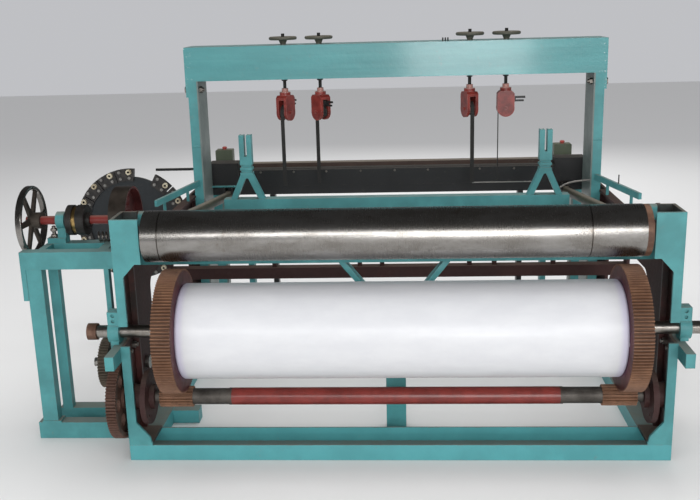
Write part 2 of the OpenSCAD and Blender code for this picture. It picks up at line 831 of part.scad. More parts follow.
// Ring gear: a toothed rim, and inside it a pierced web on the inner side with a hub
module ring_gear(x0, web_x0) {
    color(gear_brown) difference() {
        x_gear(ring_teeth, x0, ring_w, beam_y, beam_z, -90);
        x_rod(x0 - 1, x0 + ring_w + 1, beam_y, beam_z, 2 * ring_rim_in);
    }
    color(gear_brown) difference() {
        union() {
            x_rod(web_x0, web_x0 + ring_web, beam_y, beam_z, 2 * (ring_rim_in - seat_fit));
            x_rod(x0, x0 + ring_w, beam_y, beam_z, hub_d);
        }
        x_rod(x0 - 1, x0 + ring_w + 1, beam_y, beam_z, axle_d + 2 * seat_fit);
        for (a = [0 : 60 : 300])
            x_rod(web_x0 - 1, web_x0 + ring_web + 1, beam_y + web_hole_r * cos(a),
                beam_z + web_hole_r * sin(a), web_hole_d);
    }
}
module left_ring_gear() ring_gear(ring_left_x, ring_left_x + ring_w - ring_web);
module right_ring_gear() ring_gear(ring_right_x, ring_right_x);

roll_round = 12;
// White-wrapped roll between the ring gears
module warp_roll() {
    r = roll_d / 2;
    color(film_white) translate([ring_left_x + ring_w, beam_y, beam_z]) rotate([0, 90, 0])
        rotate_extrude($fn = 128) {
            translate([axle_d / 2 + 0.3, 0]) square([r - roll_round - axle_d / 2 - 0.3, roll_len]);
            translate([axle_d / 2 + 0.3, roll_round])
                square([r - axle_d / 2 - 0.3, roll_len - 2 * roll_round]);
            for (x = [roll_round, roll_len - roll_round])
                translate([r - roll_round, x]) circle(roll_round);
        }
}

axle_left = -half_w - 102;
axle_right = half_w + 92;
module warp_axle() {
    color(steel) {
        x_rod(axle_left, axle_right, beam_y, beam_z, axle_d);
        x_rod(axle_left - 36, axle_left, beam_y, beam_z, collar_d);
        x_rod(ring_left_x - 54, ring_left_x, beam_y, beam_z, axle_d + 10);
    }
}

// Let-off gears

pinion_left_x = ring_left_x - 40;
pinion_right_x = ring_right_x - 53;
paint_left = pinion_left_x + pinion_len + 140;
paint_right = pinion_right_x - 145;
// Shaft below the warp beam: painted middle, bare ends, journals, seat of the let-off gear
module pinion_shaft() {
    color(bright_red) {
        x_rod(paint_left, paint_right, pinion_y, pinion_z, pinion_shaft_d);
    }
    color(steel) {
        x_rod(pinion_left_x + pinion_len, paint_left, pinion_y, pinion_z, pinion_shaft_d - 4);
        x_rod(paint_right, pinion_right_x, pinion_y, pinion_z, pinion_shaft_d - 4);
        x_rod(pinion_right_x, web_in - gap, pinion_y, pinion_z, pinion_journal_d);
        x_rod(let_off_x - 8, pinion_left_x + pinion_len, pinion_y, pinion_z, pinion_journal_d);
    }
}
module pinions() {
    color(gear_brown) for (x = [pinion_left_x, pinion_right_x]) difference() {
        x_gear(pinion_teeth, x, pinion_len, pinion_y, pinion_z, 90 + 180 / pinion_teeth);
        x_rod(x - 1, x + pinion_len + 1, pinion_y, pinion_z,
            pinion_journal_d + 2 * seat_fit);
    }
}
module let_off_gear() {
    rim = root_r(let_off_teeth) - 14;
    color(gear_brown) difference() {
        x_gear(let_off_teeth, let_off_x, let_off_w, pinion_y, pinion_z, idler_angle);
        x_rod(let_off_x - 1, let_off_x + let_off_w + 1, pinion_y, pinion_z,
            pinion_journal_d + 2 * seat_fit);
        difference() {
            union() {
                x_rod(let_off_x - 1, let_off_x + 10, pinion_y, pinion_z, 2 * rim);
                x_rod(let_off_x + let_off_w - 10, let_off_x + let_off_w + 1, pinion_y,
                    pinion_z, 2 * rim);
            }
            x_rod(let_off_x - 2, let_off_x + let_off_w + 2, pinion_y, pinion_z, 96);
        }
        for (a = [0 : 60 : 300])
            x_rod(let_off_x - 1, let_off_x + let_off_w + 1, pinion_y + 90 * cos(a),
                pinion_z + 90 * sin(a), 50);
    }
}
// Compound idler: small gear in mesh with the let-off gear, large gear outboard
module idler_gear() {
    color(olive) difference() {
        union() {
            x_gear(idler_small_teeth, let_off_x, let_off_w, idler_y, idler_z,
                idler_angle + 180 + 180 / idler_small_teeth);
            x_rod(idler_large_x, let_off_x + let_off_w, idler_y, idler_z, 70);
            x_gear(idler_large_teeth, idler_large_x, let_off_w, idler_y, idler_z, 0);
        }
        x_rod(idler_large_x - 1, let_off_x + let_off_w + 1, idler_y, idler_z,
            stub_d + 2 * run_fit);
    }
}

// Top roller with its journals and end ring
module top_roller() {
    h = roller_len / 2;
    color(steel) {
        x_rod(-h, h - end_ring_w, roller_y, roller_z, roller_d);
        x_rod(h - end_ring_w, h, roller_y, roller_z, roller_d - 3);
        x_rod(-web_in + gap, -h, roller_y, roller_z, roller_journal_d);
        x_rod(h, web_in - gap, roller_y, roller_z, roller_journal_d);
    }
}

// Main shaft

crank_in = rod_x - rod_half_w - web_gap;
crank_out = rod_x + rod_half_w + web_gap;
// Main shaft, open between the webs of each crank
module main_shaft() {
    color(bright_red) {
        x_rod(shaft_left, -crank_out, shaft_y, shaft_z, shaft_d);
        x_rod(-crank_in, crank_in, shaft_y, shaft_z, shaft_d);
        x_rod(crank_out, shaft_right, shaft_y, shaft_z, shaft_d);
    }
}
// Web of a crank with its half of the crank pin, which stops short of the rod's eye
module crank_web(x0, pin_x0) {
    difference() {
        union() {
            yz_plate(x0, x0 + web_t) {
                translate([shaft_y, shaft_z]) circle(d = shaft_d + 20);
                translate([crank_y, shaft_z]) circle(d = crank_pin_d + 14);
                translate([crank_y, shaft_z - 20]) square([crank_throw, 40]);
            }
            x_rod(pin_x0, pin_x0 + web_gap - crank_pin_gap, crank_y, shaft_z, crank_pin_d);
        }
        x_rod(x0 - 1, x0 + web_t + 1, shaft_y, shaft_z, shaft_d + 2 * seat_fit);
    }
}
module crank_webs() {
    color(steel) both_sides() {
        crank_web(crank_in - web_t, crank_in);
        crank_web(crank_out, crank_out - web_gap + crank_pin_gap);
    }
}

flywheel_x = -bay_x - 10;
rim_w = 26;
rim_t = 15;
flywheel_hub_w = 46;
// Handwheel of the drive, with a round-edged rim and six tapered spokes
module flywheel() {
    r = flywheel_d / 2;
    color(steel) difference() {
        union() {
            translate([flywheel_x, shaft_y, shaft_z]) rotate([0, 90, 0]) rotate_extrude($fn = 96)
                translate([r - rim_t, 0]) round_rect(0, rim_t, 0, rim_w, 5);
            x_rod(flywheel_x + 8, flywheel_x + 8 + flywheel_hub_w, shaft_y, shaft_z, 66);
            translate([flywheel_x + rim_w / 2, shaft_y, shaft_z]) rotate([90, 0, 90])
                for (a = [0 : 60 : 300]) rotate(a) translate([0, 0, -5]) linear_extrude(12)
                    polygon([[20, -13], [r - rim_t + 4, -8], [r - rim_t + 4, 8], [20, 13]]);
        }
        x_rod(flywheel_x - 1, flywheel_x + 60, shaft_y, shaft_z, shaft_d + 2 * seat_fit);
    }
}

drum_x = -half_w - 272;
drum_w = 74;
// Clutch drum with a brass ring between two dark halves
module clutch_drum() {
    color(black) difference() {
        union() {
            x_rod(drum_x, drum_x + 24, shaft_y, shaft_z, drum_d);
            x_rod(drum_x + 24, drum_x + 40, shaft_y, shaft_z, drum_d - 14);
            x_rod(drum_x + 40, drum_x + drum_w, shaft_y, shaft_z, drum_d);
            x_rod(drum_x + drum_w, drum_x + drum_w + 14, shaft_y, shaft_z, 62);
        }
        x_rod(drum_x - 1, drum_x + drum_w + 15, shaft_y, shaft_z, shaft_d + 2 * seat_fit);
    }
}

pulley_wall = 9;
// Drive pulley with a flat rim, a web on its right side and a hub
module drive_pulley() {
    r = pulley_d / 2;
    color(dark_red) difference() {
        union() {
            difference() {
                x_rod(pulley_x, pulley_x + pulley_w, shaft_y, shaft_z, 2 * r, $fn = 96);
                x_rod(pulley_x - 1, pulley_x + pulley_w + 1, shaft_y, shaft_z,
                    2 * (r - pulley_wall), $fn = 96);
            }
            x_rod(pulley_x + 26, pulley_x + 38, shaft_y, shaft_z, 2 * (r - pulley_wall) + 1);
            x_rod(pulley_x + 10, pulley_x + 58, shaft_y, shaft_z, 72);
        }
        x_rod(pulley_x - 1, pulley_x + pulley_w + 1, shaft_y, shaft_z, shaft_d + 2 * seat_fit);
        for (a = [0 : 72 : 288])
            x_rod(pulley_x + 25, pulley_x + 39, shaft_y + 76 * cos(a), shaft_z + 76 * sin(a), 46);
    }
}

// Pin disc

pin_pitch = 360 / pin_places;
// Plain disc on its shaft
module pin_disc() {
    color(black) {
        y_rod(-disc_x, disc_y, disc_y + disc_t, disc_z, 2 * disc_r, $fn = 96);
        y_rod(-disc_x, disc_y - 30, disc_y, disc_z, 90);
        y_rod(-disc_x, disc_y + disc_t, bracket_y + 70, disc_z, disc_shaft_d);
        y_rod(-disc_x, bracket_y + 57, bracket_y + 70, disc_z, disc_shaft_d + 16);
    }
}
block_front = 10;
pin_d = 27;
pin_hole_d = 10;
pin_in = 15;
block_bolt_d = 15;
bolt_in = 13;
// Outline of a rim block, from just before its pin to just before the next pin
module block_outline(r0, r1) {
    arc = [for (i = [0 : 4]) 90 - 5.3 + i * (pin_pitch - 1) / 4];
    polygon(concat([for (a = arc) r1 * [cos(a), sin(a)]],
        [for (i = [4 : -1 : 0]) r0 * [cos(arc[i]), sin(arc[i])]]));
}
// Rim blocks on the disc, each with a hollow pin and its bolts
module disc_pins() {
    inner_r = disc_r - 20;
    color(black) translate([-disc_x, disc_y, disc_z])
        for (i = [0 : pin_places - 2]) rotate([0, -i * pin_pitch, 0]) difference() {
            union() {
                xz_plate(-block_front, 0) block_outline(inner_r, disc_r + 5);
                xz_plate(-block_front, disc_t) block_outline(disc_r + 1, pin_circle_r);
                y_rod(0, -block_front - 12, disc_t + 4, pin_circle_r - pin_in, pin_d);
                for (a = [0, pin_pitch / 2]) rotate([0, -a, 0])
                    y_rod(0, -block_front - 6, -block_front, inner_r + 16, block_bolt_d);
                rotate([0, -pin_pitch / 2, 0])
                    y_rod(0, -block_front - 6, -block_front, pin_circle_r - bolt_in, block_bolt_d);
            }
            y_rod(0, -block_front - 13, disc_t + 5, pin_circle_r - pin_in, pin_hole_d);
        }
}

// Sley

sley_foot_in = 18;
sley_foot_d = 62;
sley_box_step = 8;
sley_pipe_d = 14;
lug_in = 15.5;
lug_t = 7.5;
reed_slot = 14;
reed_slot_h = 24;
// Sley: body with a slot for the reed, foot, shuttle boxes, and lugs for the connecting rods
module sley_beam() {
    lug_out = lug_in + lug_t;
    color(black) difference() {
        union() {
            block(-sley_end, sley_end, sley_y, sley_y + sley_d, sley_body_z,
                sley_body_z + sley_body_h);
            block(-sley_end, sley_end, sley_y + sley_foot_in, sley_y + sley_foot_in + sley_foot_d,
                sley_body_z - sley_foot_h, sley_body_z);
            both_sides() block(sley_box_x, sley_end, sley_y - sley_box_step, sley_y + sley_d + 4,
                sley_box_z, sley_box_z + sley_box_h);
            x_rod(-half_w - 220, -sley_end, sley_y + sley_d / 2 - 5,
                sley_box_z + sley_box_h - 34, sley_pipe_d);
            x_rod(sley_end, half_w + 10, sley_y + sley_d / 2 - 5,
                sley_box_z + sley_box_h - sley_pipe_d / 2, sley_pipe_d);
            both_sides() for (x = [rod_x - lug_out, rod_x + lug_in])
                block(x, x + lug_t, rod_pin_y - rod_pin_d, sley_y + 20, rod_pin_z - 22, sley_body_z);
            both_sides() x_rod(rod_x - lug_out, rod_x + lug_out, rod_pin_y, rod_pin_z, rod_pin_d);
        }
        block(-sley_box_x + 8, sley_box_x - 8, sley_y + sley_d / 3, sley_y + sley_d / 3 + reed_slot,
            sley_body_z + sley_body_h - reed_slot_h, sley_body_z + sley_body_h + 1);
    }
}

sword_hub_w = 60;
sword_hub_d = 84;
// Rocking shaft in its floor brackets, with the two swords that carry the sley
module sley_swords() {
    color(black) {
        x_rod(-rail_in - 20, rail_in + 20, rocker_y, rocker_z, rocker_d);
        both_sides() block(sword_x - sword_w / 2, sword_x + sword_w / 2, rocker_y - sword_d / 2,
            rocker_y + sword_d / 2, rocker_z, sley_body_z - sley_foot_h);
        both_sides() x_rod(sword_x - sword_hub_w / 2, sword_x + sword_hub_w / 2, rocker_y,
            rocker_z, sword_hub_d);
    }
}

// Rod from the sley's end to its crank, with an eye at each end
module connecting_rod() {
    span = rod_pin_y - crank_y;
    rise = shaft_z - rod_pin_z;
    color(olive) difference() {
        union() {
            x_rod(rod_x - 14, rod_x + 14, rod_pin_y, rod_pin_z, 46);
            x_rod(rod_x - rod_half_w, rod_x + rod_half_w, crank_y, shaft_z, rod_eye_d);
            translate([rod_x, rod_pin_y, rod_pin_z]) rotate([90 - atan(rise / span), 0, 0]) {
                cylinder(d = rod_d - 14, h = norm([span, rise]));
                translate([0, 0, 36]) cylinder(d = rod_d, h = norm([span, rise]) - 150);
            }
        }
        x_rod(rod_x - 15, rod_x + 15, rod_pin_y, rod_pin_z, rod_pin_d + 2 * run_fit);
        x_rod(rod_x - rod_half_w - 1, rod_x + rod_half_w + 1, crank_y, shaft_z,
            crank_pin_d + 2 * run_fit);
    }
}
module left_connecting_rod() mirror([1, 0, 0]) connecting_rod();
module right_connecting_rod() connecting_rod();

// Lifting screws

wheel_rim_d = 16;
wheel_rise = 30;
wheel_hub_h = 36;
wheel_hub_d = 46;
wheel_foot_d = 28;
spoke_d = 12;
// Handwheel on the overhead beam: rim, four spokes and a hub that narrows to its foot
module handwheel(i) {
    r = (handwheel_d - wheel_rim_d) / 2;
    color(wheel_grey) translate([lift_x[i], lift_y, overhead_z]) difference() {
        union() {
            rotate_extrude() polygon([[0, 0], [wheel_foot_d / 2, 0], [wheel_foot_d / 2, 5],
                [wheel_hub_d / 2, wheel_rise - 4], [wheel_hub_d / 2, wheel_hub_h], [0, wheel_hub_h]]);
            translate([0, 0, wheel_rise]) rotate_extrude() translate([r, 0])
                circle(wheel_rim_d / 2, $fn = 24);
            for (a = [0 : 90 : 270]) rotate(a + 20 * i) translate([0, 0, wheel_rise])
                rotate([0, 90, 0]) cylinder(d = spoke_d, h = r, $fn = 24);
        }
        z_rod(0, 0, -1, wheel_hub_h + 1, screw_d + 2 * run_fit);
    }
}

sheave_pin_d = 16;
sheave_pin_out = 6;
screw_rise = 52;
// Screw with the yoke that hangs from it: stepped collar, shouldered head and two cheeks
module hanger(i) {
    shoulder = yoke_top - yoke_collar_h - yoke_step_h;
    half = yoke_w / 2 - 1;
    side = cheek_gap / 2 + cheek_t;
    color(bright_red) translate([lift_x[i], lift_y, 0]) rotate(lift_swivel[i]) {
        z_rod(0, 0, yoke_top, overhead_z + screw_rise, screw_d);
        z_rod(0, 0, shoulder + yoke_step_h, yoke_top, yoke_collar_d);
        z_rod(0, 0, shoulder, shoulder + yoke_step_h, yoke_step_d);
        xz_plate(-side, side) polygon([[-half, shoulder - yoke_head_h],
            [half, shoulder - yoke_head_h], [half, shoulder - yoke_bevel],
            [half - yoke_bevel, shoulder], [yoke_bevel - half, shoulder],
            [-half, shoulder - yoke_bevel]]);
        for (s = [-1, 1]) translate([0, s * (side - cheek_t / 2), 0])
            xz_plate(-cheek_t / 2, cheek_t / 2) {
                translate([0, sheave_z]) circle(d = yoke_w);
                translate([-half, sheave_z + 8])
                    square([2 * half, shoulder - yoke_head_h - sheave_z - 8]);
            }
        y_rod(0, -side - sheave_pin_out, side + sheave_pin_out, sheave_z, sheave_pin_d);
    }
}

module sheave(i) {
    color(black) translate([lift_x[i], lift_y, 0]) rotate(lift_swivel[i]) difference() {
        union() {
            y_rod(0, -sheave_w / 2, sheave_w / 2, sheave_z, sheave_d - 6);
            for (s = [-1, 1]) y_rod(0, s * (sheave_w / 2 - 1.25) - 1.25,
                s * (sheave_w / 2 - 1.25) + 1.25, sheave_z, sheave_d);
        }
        y_rod(0, -sheave_w / 2 - 1, sheave_w / 2 + 1, sheave_z, sheave_pin_d + 2 * run_fit);
    }
}

// Strap over the sheave, hanging down on one side
module strap(i) {
    r = sheave_d / 2 - 3 + 0.3;
    color(black) translate([lift_x[i], lift_y, 0]) rotate(lift_swivel[i])
        xz_plate(-strap_w / 2, strap_w / 2) {
            difference() {
                translate([0, sheave_z]) circle(r + strap_t);
                translate([0, sheave_z]) circle(r);
                translate([-r - 10, sheave_z - 2 * r]) square([2 * r + 20, 2 * r]);
            }
            translate([-r - strap_t, strap_z]) square([strap_t, sheave_z - strap_z]);
            translate([r, sheave_z - 20]) square([strap_t, 20]);
        }
}

module handwheel_1() handwheel(0);
module handwheel_2() handwheel(1);
module handwheel_3() handwheel(2);
module handwheel_4() handwheel(3);
module hanger_1() hanger(0);
module hanger_2() hanger(1);
module hanger_3() hanger(2);
module hanger_4() hanger(3);
module sheave_1() sheave(0);
module sheave_2() sheave(1);
module sheave_3() sheave(2);
module sheave_4() sheave(3);
module strap_1() strap(0);
module strap_2() strap(1);
module strap_3() strap(2);
module strap_4() strap(3);

left_front_post();
right_front_post();
side_plates();
base_frame();
beam_arms();
beam_clamps();
front_tie();
frame_posts();
overhead_beam();
heald_guides();
side_bars();
bay_top_frame();
bay_stand();
shaft_bearings();
breast_beam();
stop_boxes();
mid_rail();
idler_stub();
frame_bearings();
disc_bracket();
frame_bolts();
warp_axle();
warp_roll();
left_ring_gear();
right_ring_gear();
pinion_shaft();
pinions();
let_off_gear();
idler_gear();
top_roller();
main_shaft();
crank_webs();
flywheel();
clutch_drum();
drive_pulley();
pin_disc();
disc_pins();
sley_beam();
sley_swords();
left_connecting_rod();
right_connecting_rod();
left_stop_button();
right_stop_button();
handwheel_1();
handwheel_2();
handwheel_3();
handwheel_4();
hanger_1();
hanger_2();
hanger_3();
hanger_4();
sheave_1();
sheave_2();
sheave_3();
sheave_4();
strap_1();
strap_2();
strap_3();
strap_4();
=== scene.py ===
import json
import math

import bmesh
import bpy
from mathutils import Matrix, Vector


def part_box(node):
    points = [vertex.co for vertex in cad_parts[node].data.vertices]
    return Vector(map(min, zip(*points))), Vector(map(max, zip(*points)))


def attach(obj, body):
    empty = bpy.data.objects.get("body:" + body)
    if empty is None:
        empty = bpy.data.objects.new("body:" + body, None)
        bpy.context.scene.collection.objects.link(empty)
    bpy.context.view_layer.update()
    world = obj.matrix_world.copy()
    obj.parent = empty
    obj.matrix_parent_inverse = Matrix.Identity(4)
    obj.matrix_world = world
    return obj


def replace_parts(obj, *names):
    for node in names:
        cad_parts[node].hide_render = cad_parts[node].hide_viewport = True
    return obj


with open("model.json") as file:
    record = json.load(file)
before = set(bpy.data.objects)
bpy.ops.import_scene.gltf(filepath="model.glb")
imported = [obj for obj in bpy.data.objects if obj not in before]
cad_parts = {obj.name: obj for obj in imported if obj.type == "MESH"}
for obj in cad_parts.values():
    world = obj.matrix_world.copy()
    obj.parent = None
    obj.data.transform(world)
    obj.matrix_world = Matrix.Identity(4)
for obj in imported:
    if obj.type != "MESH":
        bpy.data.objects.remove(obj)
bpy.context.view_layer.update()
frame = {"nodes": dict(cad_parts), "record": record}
nodes = frame["nodes"]
scene = bpy.context.scene
numbers = (1, 2, 3, 4)

# Places read from the frame, in metres
roll_lo, roll_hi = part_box("warp_roll")
wheel_lo, wheel_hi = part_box("flywheel")
pulley_lo, pulley_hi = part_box("drive_pulley")
drum_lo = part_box("clutch_drum")[0]
disc_lo, disc_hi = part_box("pin_disc")
pinions_lo, pinions_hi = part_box("pinions")
beam_lo, beam_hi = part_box("overhead_beam")
upper_lo, upper_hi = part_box("frame_posts")
bearings_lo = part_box("shaft_bearings")[0]
bay_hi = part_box("bay_top_frame")[1]
axle_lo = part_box("warp_axle")[0]
post_lo, post_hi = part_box("right_front_post")

# Axes of the turning bodies: (y, z) of the warp beam and main shaft, (x, z) of the pin disc
beam_axis = ((roll_lo.y + roll_hi.y) / 2, (roll_lo.z + roll_hi.z) / 2)
shaft_axis = ((wheel_lo.y + wheel_hi.y) / 2, (wheel_lo.z + wheel_hi.z) / 2)
disc_axis = ((disc_lo.x + disc_hi.x) / 2, (disc_lo.z + disc_hi.z) / 2)

# Sizes of the solids, and the faces and heights that pieces and paint start from
post_head_h, face_plate = 0.168, 0.0115
upper_post_w, beam_h = 0.050, 0.160
collar_h, thread_pitch = 0.020, 0.004
half_w = post_hi.x
head_bottom = post_hi.z - post_head_h
upper_in = upper_hi.x - upper_post_w
beam_bottom = beam_hi.z - beam_h
yoke_top = 1.298
up, front = (0, 0, 1), (0, -1, 0)


class Tree:
    """A material's node tree, with short calls for the nodes used here."""

    def __init__(self, name):
        self.mat = bpy.data.materials.new(name)
        self.mat.use_nodes = True
        self.nodes = self.mat.node_tree.nodes
        self.links = self.mat.node_tree.links
        self.shader = self.nodes["Principled BSDF"]
        self.coord = self.nodes.new("ShaderNodeTexCoord").outputs["Object"]

    def put(self, value, socket):
        if isinstance(value, bpy.types.NodeSocket):
            self.links.new(value, socket)
        elif isinstance(value, tuple) and len(value) == 3 and socket.type == "RGBA":
            socket.default_value = (*value, 1)
        else:
            socket.default_value = value

    def math(self, op, a, b=0.0, c=0.0):
        n = self.nodes.new("ShaderNodeMath")
        n.operation = op
        for i, v in enumerate((a, b, c)):
            self.put(v, n.inputs[i])
        return n.outputs[0]

    def stretched(self, scale):
        n = self.nodes.new("ShaderNodeMapping")
        self.links.new(self.coord, n.inputs["Vector"])
        n.inputs["Scale"].default_value = scale
        return n.outputs[0]

    def noise(self, scale, detail=4.0, rough=0.55, stretch=None, lo=0.0, hi=1.0):
        n = self.nodes.new("ShaderNodeTexNoise")
        self.links.new(self.stretched(stretch) if stretch else self.coord, n.inputs["Vector"])
        n.inputs["Scale"].default_value = scale
        n.inputs["Detail"].default_value = detail
        n.inputs["Roughness"].default_value = rough
        if (lo, hi) == (0.0, 1.0):
            return n.outputs["Fac"]
        return self.band(n.outputs["Fac"], lo, hi)

    def band(self, value, lo, hi):
        """0 below lo, 1 above hi, smooth between."""
        n = self.nodes.new("ShaderNodeMapRange")
        n.interpolation_type = "SMOOTHSTEP"
        self.put(value, n.inputs["Value"])
        n.inputs["From Min"].default_value = lo
        n.inputs["From Max"].default_value = hi
        return n.outputs["Result"]

    def within(self, value, lo, hi):
        """1 between lo and hi, else 0."""
        return self.math("MULTIPLY", self.math("GREATER_THAN", value, lo),
                         self.math("LESS_THAN", value, hi))

    def mix(self, fac, a, b):
        n = self.nodes.new("ShaderNodeMix")
        n.data_type = "RGBA"
        self.put(fac, n.inputs[0])
        self.put(a, n.inputs[6])
        self.put(b, n.inputs[7])
        return n.outputs[2]

    def lerp(self, fac, a, b):
        n = self.nodes.new("ShaderNodeMapRange")
        self.put(fac, n.inputs["Value"])
        self.put(a, n.inputs["To Min"])
        self.put(b, n.inputs["To Max"])
        return n.outputs["Result"]

    def place(self):
        """The three parts of the object coordinate."""
        n = self.nodes.new("ShaderNodeSeparateXYZ")
        self.links.new(self.coord, n.inputs[0])
        return n.outputs

    def facing(self):
        """The three parts of the surface normal, in the piece's own axes."""
        geo = self.nodes.new("ShaderNodeNewGeometry")
        turn = self.nodes.new("ShaderNodeVectorTransform")
        turn.vector_type = "NORMAL"
        turn.convert_from, turn.convert_to = "WORLD", "OBJECT"
        self.links.new(geo.outputs["True Normal"], turn.inputs[0])
        n = self.nodes.new("ShaderNodeSeparateXYZ")
        self.links.new(turn.outputs[0], n.inputs[0])
        return n.outputs

    def radius(self, a, b, ca, cb):
        """Distance from the axis at (ca, cb) in the plane of coordinates a and b."""
        da, db = self.math("SUBTRACT", a, ca), self.math("SUBTRACT", b, cb)
        squares = self.math("ADD", self.math("MULTIPLY", da, da), self.math("MULTIPLY", db, db))
        return self.math("SQRT", squares)

    def edges(self, size):
        """1 along sharp edges, from the difference between a bevelled and the true normal."""
        bevel = self.nodes.new("ShaderNodeBevel")
        bevel.samples = 4
        bevel.inputs["Radius"].default_value = size
        geo = self.nodes.new("ShaderNodeNewGeometry")
        dot = self.nodes.new("ShaderNodeVectorMath")
        dot.operation = "DOT_PRODUCT"
        self.links.new(bevel.outputs[0], dot.inputs[0])
        self.links.new(geo.outputs["Normal"], dot.inputs[1])
        return self.band(self.math("SUBTRACT", 1.0, dot.outputs["Value"]), 0.02, 0.16)

    def bump(self, height, distance, strength=1.0, below=None):
        n = self.nodes.new("ShaderNodeBump")
        self.put(height, n.inputs["Height"])
        n.inputs["Distance"].default_value = distance
        n.inputs["Strength"].default_value = strength
        if below is not None:
            self.links.new(below, n.inputs["Normal"])
        return n.outputs[0]

    def finish(self, color, rough, metal=0.0, normal=None, coat=0.0, specular=None):
        self.put(color, self.shader.inputs["Base Color"])
        self.put(rough, self.shader.inputs["Roughness"])
        self.put(metal, self.shader.inputs["Metallic"])
        if normal is not None:
            self.put(normal, self.shader.inputs["Normal"])
        if coat:
            self.shader.inputs["Coat Weight"].default_value = coat
            self.shader.inputs["Coat Roughness"].default_value = 0.12
        if specular is not None:
            self.shader.inputs["Specular IOR Level"].default_value = specular
        return self.mat


dust_color = (0.20, 0.175, 0.14)
bare_iron = (0.16, 0.13, 0.10)
primer_red = (0.085, 0.022, 0.018)


def paint(name, color, dark=0.72, dust=0.5, wear=0.5, rough=0.42, second=None, where=None, coat=0.0,
          stretch=None, under=(0.018, 0.012, 0.010), waves=False):
    """Brushed-on machine paint: mottled, dusty where it faces up, worn at the edges.

    Where second and where are given, the second colour over under shows instead of the first."""
    t = Tree(name)
    mottle = t.noise(7, 5, 0.6, stretch=stretch, lo=0.32, hi=0.72)
    fine = t.noise(60, 3, 0.6)
    shade = tuple(c * dark for c in color)
    col = t.mix(mottle, shade, color)
    if where is not None:
        col = t.mix(where(t), col, t.mix(mottle, under, second(t)))
    up = t.band(t.facing()[2], 0.55, 0.95)
    settled = t.math("MULTIPLY", up, t.lerp(t.noise(11, 4, 0.7), dust * 0.55, dust * 1.25))
    specks = t.math("MULTIPLY", t.noise(26, 6, 0.7, lo=0.60, hi=0.72), 0.35 * dust)
    col = t.mix(t.math("MAXIMUM", settled, specks), col, dust_color)
    chips = t.math("MULTIPLY", t.edges(0.004), t.noise(38, 4, 0.7, lo=0.46, hi=0.60))
    chips = t.math("MULTIPLY", chips, wear)
    col = t.mix(chips, col, bare_iron)
    r = t.lerp(fine, rough - 0.06, rough + 0.14)
    r = t.math("ADD", r, t.math("MULTIPLY", settled, 0.35))
    normal = t.bump(t.noise(34, 4, 0.6), 0.0016, 0.5)
    if waves:
        normal = t.bump(t.noise(1, 3, 0.5, stretch=(0.25, 1, 16)), 0.004, 0.6, normal)
    return t.finish(col, r, 0.0, normal, coat=coat)


rust_color, streak = (0.12, 0.055, 0.03), 0.35
drawn_along_x, mottled = (0.6, 40, 40), (6, 6, 6)


def steel(name, color, rough, stretch, rust):
    """Bare steel with rust stains: fine lines where the stretch is uneven, else mottled."""
    t = Tree(name)
    lines = t.noise(6, 6, 0.7, stretch=stretch)
    cloud = t.noise(5, 5, 0.65, lo=0.3, hi=0.75)
    dark = tuple(c * (1 - streak) for c in color)
    col = t.mix(lines, dark, color)
    col = t.mix(t.math("MULTIPLY", cloud, 0.35), col, tuple(c * 0.45 for c in color))
    stain = t.math("MULTIPLY", t.noise(9, 6, 0.72, lo=0.58, hi=0.70), rust)
    col = t.mix(stain, col, rust_color)
    r = t.math("ADD", t.lerp(lines, rough - 0.05, rough + 0.1), t.math("MULTIPLY", stain, 0.4))
    metal = t.lerp(stain, 1.0, 0.2)
    return t.finish(col, r, metal, t.bump(lines, 0.0003, 0.4))


def iron(name, color, groove, rough=0.62):
    """Cast or cut iron with a dry oiled skin, darker in scattered patches."""
    t = Tree(name)
    cloud = t.noise(10, 5, 0.65, lo=0.3, hi=0.7)
    col = t.mix(cloud, tuple(c * 0.62 for c in color), color)
    col = t.mix(t.math("MULTIPLY", t.noise(48, 4, 0.7, lo=0.52, hi=0.66), 0.5), col, groove)
    col = t.mix(t.math("MULTIPLY", t.edges(0.003), 0.45), col, tuple(min(1, c * 1.9) for c in color))
    r = t.lerp(t.noise(30, 3), rough - 0.1, rough + 0.12)
    return t.finish(col, r, 0.25, t.bump(t.noise(70, 5, 0.65), 0.0012, 0.6))


teal = (0.072, 0.295, 0.305)
# Every material, by the short name that nodes and pieces are given
M = {}
M["teal"] = paint("teal_paint", teal)


flecks_from, flecks_full = upper_in + 0.005, upper_hi.x - 0.004


def beam_flecks(t):
    """Scuffed spots at both ends of the overhead beam."""
    x, _, _ = t.place()
    end = t.band(t.math("ABSOLUTE", x), flecks_from, flecks_full)
    return t.math("MULTIPLY", end, t.noise(55, 4, 0.7, lo=0.60, hi=0.66))


M["beam_teal"] = paint("beam_teal_paint", teal, dark=0.84, rough=0.34, coat=0.35,
                       stretch=(0.3, 2.0, 2.0), under=(0.30, 0.42, 0.42), waves=True,
                       second=lambda t: (0.62, 0.70, 0.70), where=beam_flecks)
M["teal_floor"] = paint("teal_floor_paint", (0.080, 0.335, 0.355), dark=0.86, dust=0.8, wear=0.8)
# Inward of the upper posts' front strips, the darker grey-teal is painted shade on the posts' inner
# sides
M["upper_post"] = paint("upper_post_paint", teal, second=lambda t: (0.185, 0.225, 0.212),
                        under=(0.115, 0.150, 0.143),
                        where=lambda t: t.math("LESS_THAN", t.math("ABSOLUTE", t.place()[0]), upper_in))
M["teal_dusty"] = paint("teal_dusty_paint", teal, dust=0.75, wear=0.7)


outer_skin = 0.0005


def inside_post(t):
    """1 behind a front post's face plate and inside its outer face."""
    x, y, _ = t.place()
    inner = t.math("LESS_THAN", t.math("ABSOLUTE", x), half_w - outer_skin)
    behind = t.math("GREATER_THAN", y, post_lo.y + face_plate)
    return t.math("MULTIPLY", inner, behind)


def primer_and_head_shade(t):
    """Red primer up to the post's head, and inside the head teal darkened as painted shade."""
    _, _, z = t.place()
    # Above the head's bottom, the dark teal is painted shade inside the open head
    return t.mix(t.math("GREATER_THAN", z, head_bottom), primer_red, (0.050, 0.075, 0.072))


